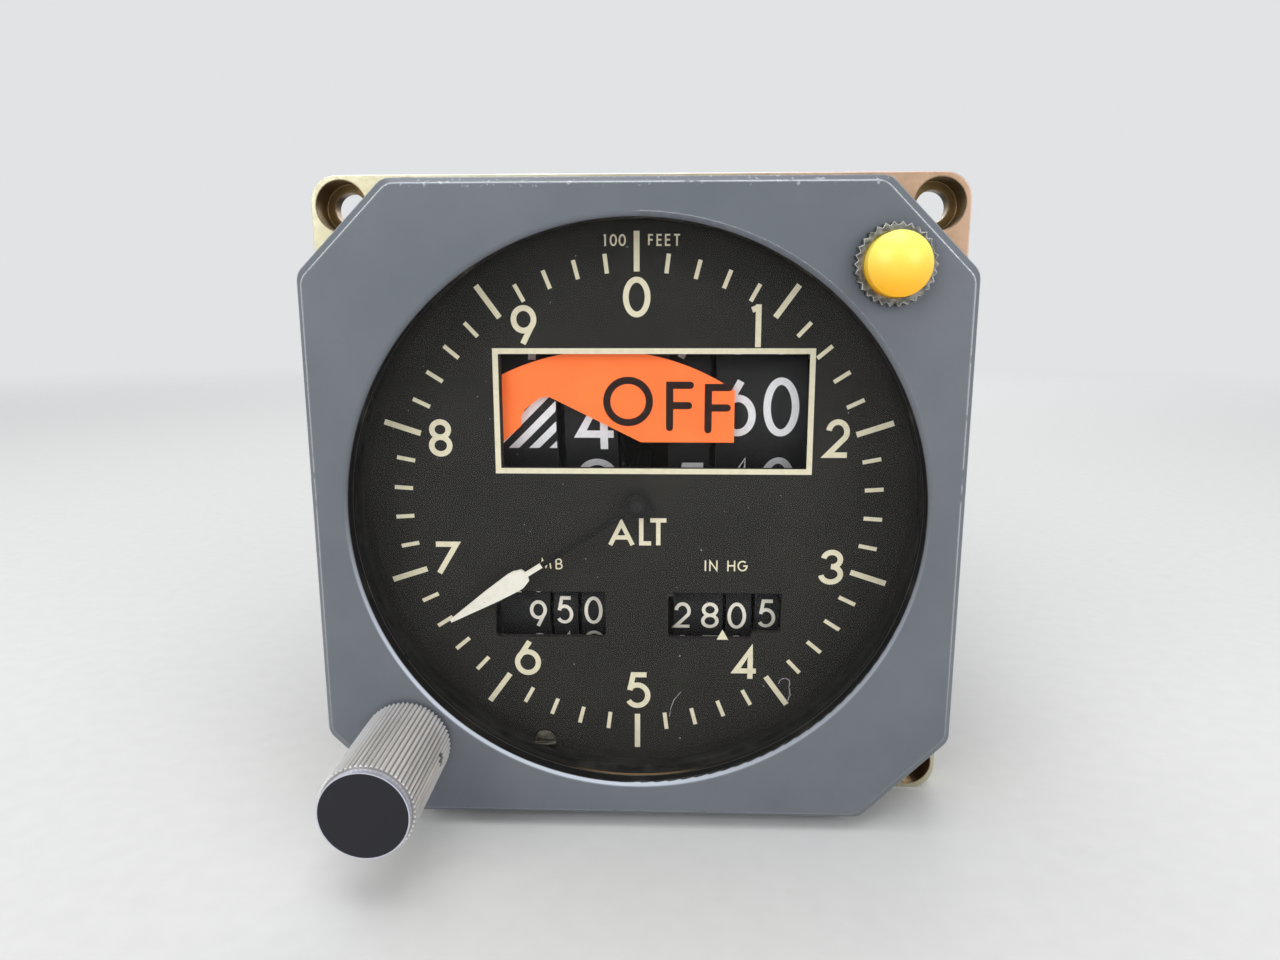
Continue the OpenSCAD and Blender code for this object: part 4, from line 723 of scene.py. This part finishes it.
# Lint and dust: a curled fibre, one hairline scratch and loose specks on the front of the cover glass.
# They are thin films on the glass and stay with the housing.
lint_grey, tree, surface = new_material("lint_grey", linear(168, 166, 170), 0.9)
thin = place_group(tree, mottle, Scale=1500.0, Low=0.35, High=0.7)["Mask"]
fluff = mix_colour(tree, thin, linear(172, 169, 175), linear(112, 110, 112))
tree.links.new(fluff, surface.inputs["Base Color"])
on_glass = on_face(glass_front, bite=0.0)
fibre = ((19.18, -23.4), (19.28, -22.92), (19.67, -22.63), (20.16, -22.6), (20.56, -22.87), (20.65, -23.31),
    (20.54, -23.79), (20.65, -24.27), (20.65, -24.65), (20.79, -24.9), (20.58, -25.23), (20.5, -25.62),
    (20.26, -25.9))
scratch = ((4.55, -28.3), (4.75, -27.0), (5.2, -25.8), (6.1, -24.7))
fibre_width, scratch_width = 0.1, 0.09
speck_count = 34
speck_field = 33.5
speck_least, speck_spread = 0.07, 0.09
speck_twist = 7
marks = bmesh.new()
for line, width in ((fibre, fibre_width), (scratch, scratch_width)):
    stroke(marks, [Vector(point) for point in line], width, on_glass)
scatter = random.Random(11)
for i in range(speck_count):
    far, turn = speck_field * math.sqrt(scatter.random()), math.tau * scatter.random()
    at = Vector((far * math.sin(turn), far * math.cos(turn)))
    grain_size = speck_least + speck_spread * scatter.random() ** 2
    tilt = Vector((math.cos(turn * speck_twist), math.sin(turn * speck_twist))) * grain_size
    stroke(marks, [at - tilt, at + tilt * scatter.random()], grain_size, on_glass)
finish_piece("glass_dust", marks, lint_grey, "housing")


# Setting knob: turned light alloy with straight flutes, a front rim and a black end disc; the rim carries a
# painted bluish reflection.
# A set screw in its side holds it on its shaft.
# It turns both pressure counters through the gear train behind the flange.
knob_low, knob_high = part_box("knob")
knob_at = (knob_low + knob_high) / 2
crest = (knob_high.x - knob_low.x) / 2
flute = 0.32 * MM
valley = crest - flute
rim_full, rim_end = 0.8 * MM, 1.0 * MM
screw_hole, screw_dark = 0.1 * MM, 0.4 * MM
knob_alloy, tree, surface = new_material("knob_alloy", linear(244, 242, 240), 0.22, 0.42)
from_axis = place_group(tree, off_axis, X=knob_at.x, Z=knob_at.z)["Distance"]
rubbed = place_group(tree, mottle, Scale=700.0, Low=0.5, High=0.8)["Mask"]
coat = mix_colour(tree, rubbed, linear(254, 252, 250), linear(238, 235, 231))
# Painted shade darkens the valleys between the flutes
coat = mix_colour(tree, ramp(tree, from_axis, valley, crest - flute / 3), linear(170, 167, 165), coat)
# Painted shade: near black inside the set screw's hole
set_screw_shade = ramp(tree, from_axis, valley - screw_hole, valley - screw_dark)
coat = mix_colour(tree, set_screw_shade, coat, linear(16, 16, 16))
# Painted reflection: the front rim turns bluish white
painted_rim_reflection = ramp(tree, axes(tree)["Y"], knob_low.y + rim_end, knob_low.y + rim_full)
tree.links.new(mix_colour(tree, painted_rim_reflection, coat, linear(206, 208, 222)), surface.inputs["Base Color"])
dress(knob_alloy, "knob")
knob_black, tree, surface = new_material("knob_black", linear(36, 36, 41), 0.6)
surface.inputs["Specular IOR Level"].default_value = 0.25
speck = place_group(tree, mottle, Scale=2600.0, Low=0.7, High=0.78)["Mask"]
tree.links.new(mix_colour(tree, speck, linear(36, 36, 41), linear(58, 60, 62)), surface.inputs["Base Color"])
dress(knob_black, "knob_cap")


# Alert lamp: an amber moulded cap over a small bulb, in a serrated ring of dull light alloy.
# Its socket goes through the bezel's corner behind the ring, and the cap presses in to test the bulb.
lamp_low, lamp_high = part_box("lamp_cap")
lamp_amber, tree, surface = new_material("lamp_amber", linear(255, 190, 28), 0.28)
surface.inputs["Subsurface Weight"].default_value = 0.35
surface.inputs["Subsurface Radius"].default_value = (3 * MM, 1.5 * MM, 0.3 * MM)
surface.inputs["Subsurface Scale"].default_value = 1.0
# Painted highlight: the cap's colour grows paler towards its top
rise = ramp(tree, axes(tree)["Z"], lamp_low.z, lamp_high.z)
painted_top_highlight = mix_colour(tree, rise, linear(255, 178, 10), linear(255, 250, 122))
tree.links.new(painted_top_highlight, surface.inputs["Base Color"])
# The weak emission is a painted glow; the bulb gives no light
surface.inputs["Emission Color"].default_value = (*linear(255, 200, 16), 1)
surface.inputs["Emission Strength"].default_value = 0.18
dress(lamp_amber, "lamp_cap")
lamp_metal = plated("lamp_metal", linear(142, 142, 137), linear(88, 87, 82), 0.45,
    linear(196, 196, 192), 1200.0)
dress(lamp_metal, "lamp_ring", "lamp_socket")
bulb_glass, tree, surface = new_material("bulb_glass", linear(255, 246, 224), 0.15)
frosted = place_group(tree, mottle, Scale=900.0, Low=0.3, High=0.7)["Mask"]
tree.links.new(mix_value(tree, frosted, 0.1, 0.25), surface.inputs["Roughness"])
dress(bulb_glass, "lamp_bulb")


# Mechanism: steel shafts and posts, brass wheels, light-alloy plates, moulded pinions and the drive.
# Four posts on the flange carry the gear and motor plates, and the side plates hold the drums' axles.
# The amplifier board is lacquered green and carries its moulded components.
turned_steel = plated("turned_steel", linear(190, 190, 188), linear(166, 166, 164), 0.3,
    linear(226, 226, 224), 400.0)
dress(turned_steel, "bezel_screws", "knob_bush", "frame_posts", "altitude_axle", "baro_axle", "servo_motor",
    "feedback_synchro", "case_screws", "rear_screws", "cross_shaft", "motor_rotor", "knob_shaft")
cut_brass = plated("cut_brass", linear(206, 172, 98), linear(184, 146, 76), 0.32,
    linear(236, 212, 150), 500.0)
dress(cut_brass, "main_gear", "baro_countershaft", "baro_layshaft")
# The crown wheel and cross gear take this black finish as painted shade, so they stay dark behind the dial
dress(blackened_and_shade, "crown_wheel", "cross_gear")
plate_alloy = plated("plate_alloy", linear(196, 197, 198), linear(178, 179, 181), 0.4,
    linear(230, 230, 232), 200.0)
dress(plate_alloy, "left_side_plate", "right_side_plate", "centre_bracket", "gear_plate", "motor_plate",
    "aux_bracket")
moulded, tree, surface = new_material("moulded", linear(34, 34, 35), 0.5)
grain = place_group(tree, mottle, Scale=3000.0, Low=0.3, High=0.7)["Mask"]
tree.links.new(mix_colour(tree, grain, linear(30, 30, 31), linear(42, 42, 43)), surface.inputs["Base Color"])
tree.links.new(bump(tree, grain, 0.008 * MM), surface.inputs["Normal"])
dress(moulded, "altitude_transfer_shaft", "baro_transfer_shaft", "flag_motor", "baro_potentiometer",
    "board_components", "connector_insert")
board_lacquer, tree, surface = new_material("board_lacquer", linear(46, 96, 62), 0.35)
blotch = place_group(tree, mottle, Scale=150.0, Low=0.4, High=0.6)["Mask"]
lacquer = mix_colour(tree, blotch, linear(42, 90, 58), linear(58, 112, 74))
tree.links.new(lacquer, surface.inputs["Base Color"])
dress(board_lacquer, "amplifier_board")


# Case: a folded light-alloy sleeve and its rear cover in satin black, worn along the folds.
# Screws hold the sleeve to the flange's lugs, the cover to the posts and the connector to the cover.
# The connector is plated olive and has a moulded insert with its contacts.
case_black, tree, surface = new_material("case_black", linear(40, 41, 43), 0.45)
wear = place_group(tree, edge_wear, Width=0.4 * MM, Wear=0.56, Scale=300.0)
spray = place_group(tree, mottle, Scale=2200.0, Low=0.25, High=0.75)["Mask"]
rubbed = place_group(tree, mottle, Scale=60.0, Low=0.55, High=0.85)["Mask"]
coat = mix_colour(tree, rubbed, linear(38, 39, 41), linear(54, 55, 57))
tree.links.new(mix_colour(tree, wear["Mask"], coat, linear(170, 172, 174)), surface.inputs["Base Color"])
tree.links.new(mix_value(tree, wear["Mask"], 0.0, 0.9), surface.inputs["Metallic"])
tree.links.new(bump(tree, spray, 0.012 * MM, wear["Normal"]), surface.inputs["Normal"])
dress(case_black, "case_shell", "rear_cover")
connector_olive = plated("connector_olive", linear(112, 116, 84), linear(92, 96, 70), 0.45,
    linear(176, 176, 150), 300.0)
dress(connector_olive, "connector_shell")
